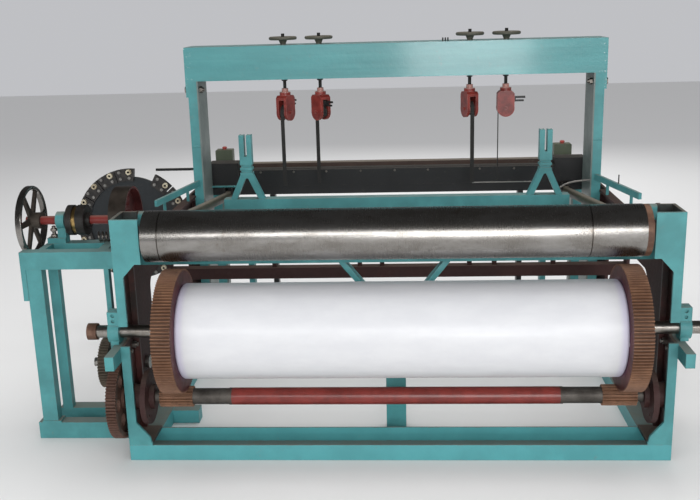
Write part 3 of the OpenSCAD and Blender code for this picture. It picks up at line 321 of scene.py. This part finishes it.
M["post"] = paint("front_post_paint", teal, second=primer_and_head_shade, where=inside_post)
# Red primer darkened further as painted shade, for the side plates and the other red parts inside the
# frame
M["dark_red"] = paint("dark_red_paint", (0.045, 0.012, 0.010), dust=0.22, wear=0.3, rough=0.65)
M["brown"] = paint("brown_paint", (0.060, 0.032, 0.022), dust=0.8, wear=0.5, rough=0.5)
M["black"] = paint("black_paint", (0.013, 0.013, 0.014), dust=0.28, wear=0.35, rough=0.38)
M["olive"] = paint("olive_paint", (0.082, 0.100, 0.062), dust=0.35, wear=0.4)
M["sheave"] = paint("sheave_paint", (0.120, 0.026, 0.024), dust=0.3, wear=0.7, rough=0.45)
M["rod"] = paint("rod_paint", (0.050, 0.048, 0.028), dust=0.7, wear=0.5, rough=0.5)
M["bright_red"] = paint("bright_red_paint", (0.42, 0.045, 0.035), dust=0.35, wear=0.5, rough=0.35)
M["shaft_red"] = paint("shaft_red_paint", (0.22, 0.026, 0.021), dust=0.35, wear=0.3, rough=0.3)
M["wheel"] = paint("handwheel_paint", (0.088, 0.084, 0.064), dust=0.4, wear=0.9, rough=0.42)
M["disc"] = paint("disc_paint", (0.022, 0.027, 0.031), dust=0.15, wear=0.4, rough=0.6)


def hanger_material():
    """Black oiled screw, painted shade in its thread grooves; red yoke, painted highlight on its
    collar.
    """
    t = Tree("hanger_finish")
    _, _, z = t.place()
    cloud = t.noise(22, 5, 0.65, lo=0.3, hi=0.7)
    red = t.mix(cloud, (0.130, 0.015, 0.012), (0.300, 0.042, 0.032))
    worn = t.mix(t.math("MULTIPLY", t.edges(0.003), 0.75), red, (0.50, 0.25, 0.22))
    # Painted highlight: the collar band at the top of the yoke is mixed towards pale
    collar_highlight = t.math("MULTIPLY", t.within(z, yoke_top - collar_h, yoke_top), 0.55)
    worn = t.mix(collar_highlight, worn, (0.60, 0.36, 0.31))
    screw = t.math("GREATER_THAN", z, yoke_top)
    threads = t.math("PINGPONG", t.math("MULTIPLY", z, 2 / thread_pitch), 1.0)
    height = t.math("MULTIPLY", threads, screw)
    # Painted shade: the black screw is darker in its thread grooves than on the crests
    oily_with_groove_shade = t.mix(threads, (0.008, 0.008, 0.009), (0.050, 0.047, 0.043))
    return t.finish(t.mix(screw, worn, oily_with_groove_shade), t.lerp(screw, 0.38, 0.42), t.lerp(screw, 0.0, 0.6),
                    t.bump(height, 0.0008, 0.7))


M["hanger"] = hanger_material()
M["steel"] = steel("bare_steel", (0.50, 0.48, 0.45), 0.34, drawn_along_x, rust=0.35)
M["bolt"] = steel("bolt_steel", (0.34, 0.31, 0.28), 0.45, mottled, rust=0.5)
M["gear"] = iron("red_brown_iron", (0.120, 0.062, 0.044), (0.030, 0.016, 0.012))
M["pinion"] = iron("pinion_iron", (0.225, 0.115, 0.066), (0.062, 0.031, 0.019))
M["grey_gear"] = iron("grey_brown_iron", (0.105, 0.085, 0.062), (0.025, 0.018, 0.012))


tooth_root_r, tooth_face_r = 0.2260, 0.2320
purple_r, red_r = 0.176, 0.196


def ring_gear_material():
    """Red-brown teeth with painted shade at the roots, the face by the roll dark red, purple next to
    the film.
    """
    t = Tree("ring_gear_iron")
    _, y, z = t.place()
    side = t.math("GREATER_THAN", t.math("ABSOLUTE", t.facing()[0]), 0.5)
    dist = t.radius(y, z, *beam_axis)
    cloud = t.noise(12, 5, 0.65, lo=0.3, hi=0.7)
    teeth = t.mix(cloud, (0.135, 0.064, 0.036), (0.225, 0.115, 0.064))
    # Painted shade: the teeth darken towards their roots, between the teeth
    teeth = t.mix(t.band(dist, tooth_root_r, tooth_face_r), (0.095, 0.048, 0.028), teeth)
    purple = t.mix(cloud, (0.080, 0.030, 0.050), (0.170, 0.072, 0.115))
    red = t.mix(cloud, (0.050, 0.010, 0.010), (0.110, 0.024, 0.022))
    col = t.mix(side, teeth, t.mix(t.band(dist, purple_r, red_r), purple, red))
    specks = t.math("MULTIPLY", t.noise(40, 5, 0.7, lo=0.55, hi=0.68), 0.4)
    col = t.mix(specks, col, (0.05, 0.03, 0.02))
    r = t.lerp(t.noise(30, 3), 0.45, 0.68)
    return t.finish(col, r, 0.15, t.bump(t.noise(70, 5, 0.65), 0.001, 0.5))


M["ring"] = ring_gear_material()


seams_x, seam_half = (-0.8545, 0.7020), 0.002
rusty_ring_x = 0.8938


def roller_material():
    """Rolled steel with mill marks, two welded seams, and a rusty ring at its right end."""
    t = Tree("roller_steel")
    x, _, _ = t.place()
    around = t.noise(5, 6, 0.75, stretch=(70, 2.0, 2.0))
    cloud = t.noise(4, 6, 0.7, stretch=(1.0, 2.5, 2.5), lo=0.28, hi=0.74)
    along = t.noise(9, 5, 0.7, stretch=(0.5, 14, 14))
    col = t.mix(cloud, (0.20, 0.188, 0.172), (0.40, 0.392, 0.380))
    col = t.mix(t.math("MULTIPLY", around, 0.4), col, (0.20, 0.18, 0.16))
    spots = t.math("MULTIPLY", t.noise(14, 6, 0.75, lo=0.60, hi=0.72), 0.45)
    col = t.mix(spots, col, (0.12, 0.085, 0.055))
    seams = t.math("ADD", *(t.within(x, seam - seam_half, seam + seam_half) for seam in seams_x))
    col = t.mix(t.math("MULTIPLY", seams, 0.85), col, (0.035, 0.028, 0.022))
    ring = t.math("GREATER_THAN", x, rusty_ring_x)
    patches = t.noise(18, 5, 0.7, lo=0.35, hi=0.65)
    rusty = t.mix(patches, (0.085, 0.040, 0.024), (0.19, 0.105, 0.065))
    col = t.mix(ring, col, rusty)
    r = t.math("ADD", t.lerp(around, 0.24, 0.33), t.math("MULTIPLY", cloud, -0.04))
    r = t.lerp(ring, r, 0.6)
    metal = t.lerp(ring, 1.0, 0.1)
    height = t.math("ADD", around, t.math("MULTIPLY", along, 0.6))
    return t.finish(col, r, metal, t.bump(height, 0.0003, 0.5))


tint_from_end, full_tint_from_end = 0.040, 0.012


def film_material():
    """White stretch film over the warp: glossy, with faint tension creases around the roll."""
    t = Tree("white_film")
    x, _, _ = t.place()
    creases = t.noise(4, 5, 0.6, stretch=(26, 1.4, 1.4))
    soft = t.noise(3, 4, 0.6, stretch=(2.5, 6, 6))
    cool = t.mix(t.band(soft, 0.3, 0.75), (0.615, 0.620, 0.640), (0.655, 0.660, 0.675))
    from_middle = t.math("ABSOLUTE", t.math("SUBTRACT", x, (roll_lo.x + roll_hi.x) / 2))
    half = (roll_hi.x - roll_lo.x) / 2
    end = t.band(from_middle, half - tint_from_end, half - full_tint_from_end)
    col = t.mix(t.math("MULTIPLY", end, 0.7), cool, (0.50, 0.47, 0.62))
    r = t.lerp(creases, 0.34, 0.46)
    normal = t.bump(creases, 0.0012, 0.25, t.bump(soft, 0.003, 0.12))
    return t.finish(col, r, 0.0, normal, coat=0.08)


red_lo, red_hi = pinions_lo.x + 0.2790, pinions_hi.x - 0.2840


def shaft_material():
    """Red paint along the middle of the pinion shaft, bare metal at both ends."""
    t = Tree("pinion_shaft_finish")
    x, _, _ = t.place()
    red = t.within(x, red_lo, red_hi)
    cloud = t.noise(14, 5, 0.7, lo=0.3, hi=0.7)
    paint_col = t.mix(cloud, (0.12, 0.016, 0.012), (0.21, 0.029, 0.022))
    metal_col = t.mix(cloud, (0.050, 0.043, 0.037), (0.110, 0.100, 0.088))
    col = t.mix(red, metal_col, paint_col)
    return t.finish(col, t.lerp(red, 0.5, 0.30), t.lerp(red, 0.55, 0.0),
                    t.bump(t.noise(40, 4, 0.6), 0.0008, 0.4))


axle_collar_hi = axle_lo.x + 0.0365


def axle_material():
    """Bright axle with a rusty collar at its left end."""
    t = Tree("axle_steel")
    x, _, _ = t.place()
    collar = t.math("LESS_THAN", x, axle_collar_hi)
    lines = t.noise(6, 6, 0.7, stretch=(60, 1.5, 1.5))
    cloud = t.noise(16, 5, 0.7, lo=0.35, hi=0.7)
    bright = t.mix(lines, (0.24, 0.22, 0.20), (0.52, 0.50, 0.47))
    bright = t.mix(t.math("MULTIPLY", cloud, 0.6), bright, (0.17, 0.14, 0.11))
    rusty = t.mix(cloud, (0.11, 0.055, 0.035), (0.24, 0.14, 0.10))
    col = t.mix(collar, bright, rusty)
    return t.finish(col, t.lerp(collar, 0.33, 0.55), t.lerp(collar, 1.0, 0.5),
                    t.bump(lines, 0.0003, 0.4))


def pulley_material():
    """Belt face polished brown outside, dark red paint inside."""
    t = Tree("pulley_finish")
    _, y, z = t.place()
    outer = (pulley_hi.z - pulley_lo.z) / 2
    outside = t.math("GREATER_THAN", t.radius(y, z, *shaft_axis), outer - 0.0015)
    cloud = t.noise(9, 5, 0.65, lo=0.3, hi=0.7)
    brown = t.mix(cloud, (0.022, 0.017, 0.013), (0.060, 0.048, 0.038))
    red = t.mix(cloud, (0.050, 0.010, 0.010), (0.110, 0.022, 0.020))
    return t.finish(t.mix(outside, red, brown), t.lerp(outside, 0.55, 0.4), t.lerp(outside, 0.0, 0.5),
                    t.bump(t.noise(40, 4, 0.6), 0.0008, 0.4))


brass_lo, brass_hi = drum_lo.x + 0.0242, drum_lo.x + 0.0398


def drum_material():
    """Black clutch halves with a brass ring between them."""
    t = Tree("clutch_finish")
    x, _, _ = t.place()
    brass = t.within(x, brass_lo, brass_hi)
    cloud = t.noise(16, 4, 0.65, lo=0.3, hi=0.7)
    dark = t.mix(cloud, (0.008, 0.007, 0.006), (0.021, 0.018, 0.016))
    gold = t.mix(cloud, (0.30, 0.19, 0.07), (0.52, 0.35, 0.14))
    return t.finish(t.mix(brass, dark, gold), t.lerp(brass, 0.45, 0.35), t.lerp(brass, 0.1, 1.0),
                    t.bump(t.noise(50, 4, 0.6), 0.0008, 0.4))


rim_dull_r, rim_bright_r = 0.118, 0.124


def flywheel_material():
    """Polished rim on darker spokes and hub."""
    t = Tree("flywheel_finish")
    _, y, z = t.place()
    rim = t.band(t.radius(y, z, *shaft_axis), rim_dull_r, rim_bright_r)
    cloud = t.noise(12, 5, 0.65, lo=0.3, hi=0.7)
    bright = t.mix(cloud, (0.13, 0.12, 0.11), (0.32, 0.305, 0.29))
    dull = t.mix(cloud, (0.038, 0.031, 0.026), (0.095, 0.078, 0.064))
    return t.finish(t.mix(rim, dull, bright), t.lerp(rim, 0.55, 0.24), t.lerp(rim, 0.6, 1.0),
                    t.bump(t.noise(50, 4, 0.6), 0.0006, 0.4))


rim_places = 17
pins_r, inner_bolts_r, outer_bolts_r = 0.273, 0.242, 0.275
pin_spot, bore_shade_r, bolt_spot = 0.0139, 0.0058, 0.0078


def pin_material():
    """Black rim blocks with pale brass pins, painted shade in their bores, and grey bolt heads."""
    t = Tree("pin_disc_rim")
    x, _, z = t.place()
    dist = t.radius(x, z, *disc_axis)
    turned_by = t.math("ARCTAN2", t.math("SUBTRACT", x, disc_axis[0]),
                       t.math("SUBTRACT", z, disc_axis[1]))
    half_pitch = math.tau / rim_places / 2
    # Lengths along the rim from the nearest pin's middle, and from the middle between two pins
    along = t.math("PINGPONG", turned_by, half_pitch)
    off_pin = t.math("MULTIPLY", along, dist)
    off_gap = t.math("MULTIPLY", t.math("SUBTRACT", half_pitch, along), dist)

    def spot(across, centre, size):
        rise = t.math("SUBTRACT", dist, centre)
        squares = t.math("ADD", t.math("MULTIPLY", across, across), t.math("MULTIPLY", rise, rise))
        return t.math("LESS_THAN", t.math("SQRT", squares), size)

    brass_end = spot(off_pin, pins_r, pin_spot)
    bore = spot(off_pin, pins_r, bore_shade_r)
    bolt = t.math("MAXIMUM", spot(off_pin, inner_bolts_r, bolt_spot),
                  spot(off_gap, inner_bolts_r, bolt_spot))
    bolt = t.math("MAXIMUM", bolt, spot(off_gap, outer_bolts_r, bolt_spot))
    cloud = t.noise(30, 5, 0.7, lo=0.3, hi=0.7)
    black = t.mix(cloud, (0.010, 0.009, 0.009), (0.036, 0.031, 0.028))
    brass = t.mix(cloud, (0.34, 0.27, 0.17), (0.74, 0.68, 0.52))
    grey = t.mix(cloud, (0.11, 0.105, 0.10), (0.30, 0.29, 0.27))
    col = t.mix(bolt, black, grey)
    col = t.mix(brass_end, col, brass)
    # The dark spot at each pin's middle is painted shade in its bore
    col = t.mix(bore, col, (0.012, 0.010, 0.008))
    metal = t.math("MULTIPLY", t.math("MAXIMUM", brass_end, bolt), 0.45)
    return t.finish(col, 0.5, metal, t.bump(t.noise(60, 4, 0.6), 0.0008, 0.4))


def strap_material():
    """Black woven webbing."""
    t = Tree("strap_weave")
    wave = t.nodes.new("ShaderNodeTexWave")
    wave.bands_direction = "DIAGONAL"
    wave.inputs["Scale"].default_value = 260
    t.links.new(t.coord, wave.inputs["Vector"])
    col = t.mix(wave.outputs["Fac"], (0.012, 0.012, 0.012), (0.045, 0.043, 0.040))
    return t.finish(col, 0.85, 0.0, t.bump(wave.outputs["Fac"], 0.0008, 0.6))


M["roller"] = roller_material()
M["film"] = film_material()
M["pinion_shaft"] = shaft_material()
M["axle"] = axle_material()
M["pulley"] = pulley_material()
M["drum"] = drum_material()
M["flywheel"] = flywheel_material()
M["strap"] = strap_material()
M["pins"] = pin_material()

node_material = {
    "left_front_post": "post", "right_front_post": "post", "side_plates": "dark_red",
    "base_frame": "teal_floor", "beam_arms": "teal_dusty", "beam_clamps": "teal",
    "front_tie": "teal_dusty", "frame_posts": "upper_post", "overhead_beam": "beam_teal",
    "heald_guides": "teal", "side_bars": "teal", "bay_top_frame": "teal", "bay_stand": "teal_dusty",
    "shaft_bearings": "teal_dusty", "breast_beam": "brown", "stop_boxes": "olive",
    "mid_rail": "dark_red", "idler_stub": "steel", "frame_bearings": "dark_red",
    "disc_bracket": "teal_dusty", "frame_bolts": "bolt", "warp_axle": "axle", "warp_roll": "film",
    "left_ring_gear": "ring", "right_ring_gear": "ring", "pinion_shaft": "pinion_shaft",
    "pinions": "pinion", "let_off_gear": "gear", "idler_gear": "grey_gear",
    "top_roller": "roller", "main_shaft": "shaft_red", "crank_webs": "bolt", "flywheel": "flywheel",
    "clutch_drum": "drum", "drive_pulley": "pulley", "pin_disc": "disc", "disc_pins": "pins",
    "sley_beam": "black", "sley_swords": "black", "left_connecting_rod": "rod",
    "right_connecting_rod": "rod", "left_stop_button": "bright_red", "right_stop_button": "bright_red",
}
for number in numbers:
    node_material[f"handwheel_{number}"] = "wheel"
    node_material[f"hanger_{number}"] = "hanger"
    node_material[f"sheave_{number}"] = "sheave"
    node_material[f"strap_{number}"] = "strap"

for name, ob in nodes.items():
    ob.data.materials.clear()
    ob.data.materials.append(M[node_material[name]])


def turned(bm, at, axis, profile, sides=24, across=None):
    """Revolves (radius, height) points about an axis through at.

    It is solid where the profile starts and ends at radius 0, and else a ring.
    With across, no point lies outside a hexagon of that width."""
    z = Vector(axis).normalized()
    x = z.orthogonal().normalized()
    y = z.cross(x)
    rings = []
    for radius, height in profile:
        centre = Vector(at) + height * z
        count = sides if radius else 1
        ring = []
        for i in range(count):
            a = math.tau * i / sides
            flat = (a + math.pi / 6) % (math.pi / 3) - math.pi / 6
            reach = min(radius, across / 2 / math.cos(flat)) if across else radius
            ring.append(bm.verts.new(centre + reach * (math.cos(a) * x + math.sin(a) * y)))
        rings.append(ring)
    pairs = list(zip(rings, rings[1:]))
    if profile[0][0]:
        pairs.append((rings[-1], rings[0]))
    for a, b in pairs:
        for i in range(sides):
            j = (i + 1) % sides
            corners = [a[i % len(a)], a[j % len(a)], b[j % len(b)], b[i % len(b)]]
            bm.faces.new(list(dict.fromkeys(corners)))


def bar(bm, path, side, thick):
    """A flat bar along a path: side is its width as a vector, and thick its other size."""
    points = [Vector(p) for p in path]
    rings = []
    for i, p in enumerate(points):
        ahead, behind = points[min(i + 1, len(points) - 1)], points[max(i - 1, 0)]
        thickness = (ahead - behind).normalized().cross(Vector(side)).normalized() * thick / 2
        half = Vector(side) / 2
        rings.append([bm.verts.new(p + s * half + t * thickness)
                      for s, t in ((-1, -1), (1, -1), (1, 1), (-1, 1))])
    bm.faces.new(rings[0])
    bm.faces.new(rings[-1])
    for a, b in zip(rings, rings[1:]):
        for i in range(4):
            bm.faces.new((a[i], b[i], b[(i + 1) % 4], a[(i + 1) % 4]))


bevelled_from, sharp_from = math.radians(40), math.radians(32)


def piece(name, shapes, material, body, soften=0.0006):
    """One object from a list of shapes, each a builder and what it takes after the mesh.

    Its corners are bevelled by soften. It rides the body and takes the material slot named."""
    bm = bmesh.new()
    for build, *facts in shapes:
        build(bm, *facts)
    bmesh.ops.recalc_face_normals(bm, faces=bm.faces)
    if soften:
        sharp = [e for e in bm.edges if e.calc_face_angle(0) > bevelled_from]
        bmesh.ops.bevel(bm, geom=sharp, offset=soften, segments=2, profile=0.7, affect="EDGES",
                        clamp_overlap=True)
    mesh = bpy.data.meshes.new(name)
    bm.to_mesh(mesh)
    bm.free()
    mesh.shade_smooth()
    mesh.set_sharp_from_angle(angle=sharp_from)
    mesh.materials.append(M[material])
    ob = bpy.data.objects.new(name, mesh)
    scene.collection.objects.link(ob)
    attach(ob, body)
    return ob


nut_sides, round_sides = 24, 16
corner_ratio, face_ratio, lip_ratio = 1.155, 0.97, 0.16


def nut(at, axis, across, height, bore):
    """A hexagon nut with turned corners, around a hole of radius bore."""
    corner = across / 2 * corner_ratio
    edge = across / 2 * face_ratio
    lip = height * lip_ratio
    profile = ((bore, 0), (edge, 0), (corner, lip), (corner, height - lip), (edge, height),
               (bore, height))
    return turned, at, axis, profile, nut_sides, across


def pin(at, axis, radius, height, round_end=0.0):
    """A round bar with a tapered end."""
    profile = ((0, 0), (radius, 0), (radius, height - round_end), (radius * 0.6, height), (0, height))
    return turned, at, axis, profile, round_sides


def dome(at, axis, radius, height):
    """A low round head."""
    profile = ((0, 0), (radius, 0), (radius, height * 0.25), (radius * 0.85, height * 0.6),
               (radius * 0.5, height * 0.92), (0, height))
    return turned, at, axis, profile, round_sides


# Lock nuts under the overhead beam, and a black forked catch on each yoke
lock_across, lock_h, lock_bore = 0.026, 0.014, 0.0086
lock_z = beam_bottom - 0.0142
joint_axis = {j["child"]: Vector(j["axis"]) for j in frame["record"]["behaviour"]["joints"]}
catch_z = 0.042
root_out, fork_out = (0.027, 0.048), 0.044
root_w, root_h, prong_w = 0.0299, 0.025, 0.012
# Each prong's height above the catch's middle, its reach and its thickness
prongs = ((0.0080, 0.095, 0.0095), (-0.0085, 0.088, 0.0085))
for number in numbers:
    lo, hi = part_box(f"sheave_{number}")
    centre = (lo + hi) / 2
    axis = joint_axis[f"sheave_body_{number}"]
    out = Vector((axis.y, -axis.x, 0))
    raised = centre + Vector((0, 0, catch_z))
    piece(f"beam_nut_{number}",
          [nut((centre.x, centre.y, lock_z), up, lock_across, lock_h, lock_bore)],
          "black", "frame")
    fork = [(bar, [raised + d * out for d in root_out], axis * root_w, root_h)]
    for rise, reach, thick in prongs:
        prong_at = raised + Vector((0, 0, rise))
        fork.append((bar, (prong_at + fork_out * out, prong_at + reach * out), axis * prong_w, thick))
    piece(f"yoke_catch_{number}", fork, "black", f"hanger_body_{number}")

# Three studs on top of the overhead beam
studs_x = (0.234, 0.246, 0.258)
stud_y = beam_lo.y + 0.020
stud_r, stud_h = 0.0035, 0.018
piece("beam_studs", [pin((x, stud_y, beam_hi.z), up, stud_r, stud_h, 0.002) for x in studs_x],
      "black", "frame")

# Weld beads on the front of the upper posts
weld_y, weld_z = upper_lo.y, 1.032
bead_count, bead_pitch, bead_r, bead_h = 7, 0.005, 0.0055, 0.0022
for side, name in ((-1, "left_weld"), (1, "right_weld")):
    beads = []
    for i in range(bead_count):
        x = side * (upper_in + 0.0065 + bead_pitch * i)
        beads.append(dome((x, weld_y, weld_z + 0.001 * (i % 3)), front, bead_r, bead_h))
    piece(name, beads, "teal", "frame", 0)

# Bolts and the wear strip on the front of the sley
sley_front = 1.400
bolts_x = (-0.694, -0.522, -0.354, -0.177, -0.003, 0.167, 0.430, 0.603)
bolts_z, bolt_r, bolt_h = 0.862, 0.0062, 0.0042
piece("sley_bolts", [dome((x, sley_front, bolts_z), front, bolt_r, bolt_h) for x in bolts_x],
      "bolt", "sley", 0)
strip_ends_x, strip_y, strip_z = (0.391, 0.736), sley_front - 0.0012, 0.7915
strip_t, strip_h = 0.0028, 0.005
piece("sley_strip", [(bar, [(x, strip_y, strip_z) for x in strip_ends_x], (0, strip_t, 0), strip_h)],
      "steel", "sley")

# Bolt with two nuts beside the main shaft's end bearing
pad_x, pad_y, pad_top = bearings_lo.x + 0.021, shaft_axis[0] + 0.006, bay_hi.z + 0.022
pad_across, pad_nut_h, pad_bolt_r, pad_bolt_h = 0.024, 0.011, 0.0078, 0.046
upper_nut_z = pad_top + 0.024
piece("bearing_bolt",
      [nut((pad_x, pad_y, pad_top), up, pad_across, pad_nut_h, pad_bolt_r),
       pin((pad_x, pad_y, pad_top), up, pad_bolt_r, pad_bolt_h, 0.002),
       nut((pad_x, pad_y, upper_nut_z), up, pad_across, pad_nut_h, pad_bolt_r)],
      "bolt", "frame", 0.0004)

# Shift spring on the drive bay's beam
spring_x0, spring_x1, spring_r, wire_r = -1.196, -1.128, 0.018, 0.0035
spring_turns, turn_steps, wire_sides = 4, 20, 8
spring_centre = Vector((0, shaft_axis[0] + 0.004, bay_hi.z + spring_r + wire_r))


def coil(bm):
    """A wire of round section wound about an axis along x."""
    rings = []
    steps, sides = spring_turns * turn_steps, wire_sides
    for i in range(steps + 1):
        a = math.tau * spring_turns * i / steps
        radial = Vector((0, math.cos(a), math.sin(a)))
        x = spring_x0 + wire_r + (spring_x1 - spring_x0 - 2 * wire_r) * i / steps
        mid = spring_centre + spring_r * radial + Vector((x, 0, 0))
        ring = []
        for k in range(sides):
            b = math.tau * k / sides
            around = math.cos(b) * radial + math.sin(b) * Vector((1, 0, 0))
            ring.append(bm.verts.new(mid + wire_r * around))
        rings.append(ring)
    bm.faces.new(rings[0])
    bm.faces.new(rings[-1])
    for a, b in zip(rings, rings[1:]):
        for k in range(sides):
            bm.faces.new((a[k], b[k], b[(k + 1) % sides], a[(k + 1) % sides]))


piece("shift_spring", [(coil,)], "bolt", "frame", 0)

# Front tie on a post that forks into two struts below it
tie_lo, tie_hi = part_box("front_tie")
tie_y, tie_depth = (tie_lo.y + tie_hi.y) / 2, tie_hi.y - tie_lo.y
tie_height, post_w = 0.076, 0.080
tie_z, tie_bottom = tie_hi.z - tie_height / 2, tie_hi.z - tie_height
strut_drop, strut_reach, strut_t = 0.225, 0.205, 0.022
strut_depth = tie_depth - 0.012
fork_z = tie_bottom - strut_drop
# How far the struts' lower ends stand from the middle, and how deep each end sits in its neighbour
strut_foot, foot_sunk, top_sunk = 0.018, 0.008, 0.004
tie_ends = ((tie_lo.x, tie_y, tie_z), (tie_hi.x, tie_y, tie_z))
post_ends = ((0, tie_y, 0), (0, tie_y, fork_z))
tie_shapes = [(bar, tie_ends, (0, tie_depth, 0), tie_height),
              (bar, post_ends, (post_w, 0, 0), tie_depth)]
for side in (-1, 1):
    foot = (side * strut_foot, tie_y, fork_z - foot_sunk)
    head = (side * (strut_reach + top_sunk), tie_y, tie_bottom + top_sunk)
    tie_shapes.append((bar, (foot, head), (0, strut_depth, 0), strut_t))
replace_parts(piece("front_tie_braced", tie_shapes, "teal_dusty", "frame", 0.0008),
            "front_tie")

# Upright pin on the right side bar
bar_pin_x, bar_pin_y, bar_pin_z = 1.0205, 0.925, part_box("side_bars")[1].z
bar_pin_r, bar_pin_h = 0.0028, 0.042
piece("bar_pin", [pin((bar_pin_x, bar_pin_y, bar_pin_z), up, bar_pin_r, bar_pin_h, 0.001)],
      "black", "frame")

# Curved lever inside the right upper post, by (x, z) points along it
lever_y, lever_w, lever_t = 1.192, 0.010, 0.008
lever = ((0.794, 0.794), (0.812, 0.808), (0.828, 0.816), (0.848, 0.823), (0.869, 0.828),
         (0.905, 0.832), (upper_in + 0.002, 0.835))
piece("right_lever", [(bar, [(x, lever_y, z) for x, z in lever], (0, lever_w, 0), lever_t)],
      "steel", "frame")

# Stay bar inside the left upper post
stay_ends_x, stay_y, stay_z = (-upper_in, -0.812), 1.370, 0.797
stay_w, stay_t = 0.016, 0.008
piece("left_stay_bar", [(bar, [(x, stay_y, stay_z) for x in stay_ends_x], (0, stay_w, 0), stay_t)],
      "teal", "frame")


# Camera at the photograph's place
camera_at = Vector((0.033, -3.321, 1.691))
pitch, yaw, roll_angle = math.radians(14.8), math.radians(3.343), math.radians(1.548)
focal_px, picture_px = 932, 700
forward = Vector((-math.sin(yaw) * math.cos(pitch), math.cos(yaw) * math.cos(pitch),
                  -math.sin(pitch)))
level = Vector((math.cos(yaw), math.sin(yaw), 0))
down = forward.cross(level)
right = math.cos(roll_angle) * level + math.sin(roll_angle) * down
down = -math.sin(roll_angle) * level + math.cos(roll_angle) * down
turn = Matrix((right, -down, -forward)).transposed()
camera = bpy.data.objects.new("camera", bpy.data.cameras.new("camera"))
camera.data.sensor_width = 36
camera.data.lens = focal_px / picture_px * camera.data.sensor_width
camera.data.clip_end = 60
camera.matrix_world = Matrix.Translation(camera_at) @ turn.to_4x4()
scene.collection.objects.link(camera)
scene.camera = camera

# Floor
floor_side, floor_near, floor_far, floor_below = 14, -10, 16, 0.0005
floor_mesh = bpy.data.meshes.new("floor")
floor_mesh.from_pydata([(-floor_side, floor_near, 0), (floor_side, floor_near, 0),
                        (floor_side, floor_far, 0), (-floor_side, floor_far, 0)], [], [(0, 1, 2, 3)])
floor = bpy.data.objects.new("floor", floor_mesh)
floor.location.z = -floor_below
scene.collection.objects.link(floor)
floor_mat = Tree("pale_floor")
floor_mesh.materials.append(floor_mat.finish((0.78, 0.775, 0.76), 0.85, specular=0.1))

# World: evenly pale, but darker overhead in what glossy surfaces mirror
horizon_color, overhead_color, world_strength = (0.95, 0.96, 1.0, 1), (0.10, 0.10, 0.10, 1), 0.55
rise_from, rise_to, dark_from, dark_to = 0.02, 0.40, 0.68, 1.0
world = bpy.data.worlds.new("studio")
scene.world = world
world.use_nodes = True
world_nodes, world_links = world.node_tree.nodes, world.node_tree.links
direction = world_nodes.new("ShaderNodeTexCoord")
split = world_nodes.new("ShaderNodeSeparateXYZ")
height = world_nodes.new("ShaderNodeMapRange")
height.interpolation_type = "SMOOTHSTEP"
height.inputs["From Min"].default_value = rise_from
height.inputs["From Max"].default_value = rise_to
height.inputs["To Min"].default_value = dark_from
height.inputs["To Max"].default_value = dark_to
sky = world_nodes.new("ShaderNodeMix")
sky.data_type = "RGBA"
sky.inputs[6].default_value = horizon_color
sky.inputs[7].default_value = overhead_color
path = world_nodes.new("ShaderNodeLightPath")
seen = world_nodes.new("ShaderNodeMath")
seen.operation = "MULTIPLY"
world_links.new(direction.outputs["Generated"], split.inputs[0])
world_links.new(split.outputs["Z"], height.inputs["Value"])
world_links.new(height.outputs["Result"], seen.inputs[0])
world_links.new(path.outputs["Is Glossy Ray"], seen.inputs[1])
world_links.new(seen.outputs[0], sky.inputs[0])
background = world_nodes["Background"]
world_links.new(sky.outputs[2], background.inputs["Color"])
background.inputs["Strength"].default_value = world_strength


def area_light(name, at, look_at, size, power, mirrored=True):
    """A soft rectangular light, which glossy surfaces show only where mirrored."""
    data = bpy.data.lights.new(name, "AREA")
    data.shape = "RECTANGLE"
    data.size, data.size_y = size
    data.energy = power
    ob = bpy.data.objects.new(name, data)
    ob.location = at
    ob.rotation_euler = (Vector(look_at) - Vector(at)).to_track_quat("-Z", "Y").to_euler()
    ob.visible_glossy = mirrored
    scene.collection.objects.link(ob)


area_light("doorway", (0.4, -6.4, 2.6), (0, 0.2, 0.7), (6.0, 1.2), 165)
area_light("low_window", (0.9, -6.6, 1.15), (0.4, 0.6, 1.2), (1.6, 0.9), 75)
area_light("left_fill", (-4.2, -3.2, 2.8), (0, 0.4, 0.7), (2.4, 2.4), 42, mirrored=False)
area_light("right_fill", (4.2, -3.0, 2.6), (0, 0.4, 0.7), (2.4, 2.4), 34, mirrored=False)
area_light("back_fill", (0.5, 6.5, 3.4), (0, 1.0, 0.7), (4.0, 2.4), 110, mirrored=False)
area_light("top", (0, 1.0, 4.6), (0, 0.8, 0.6), (4.5, 3.0), 95, mirrored=False)

scene.view_settings.view_transform = "Standard"
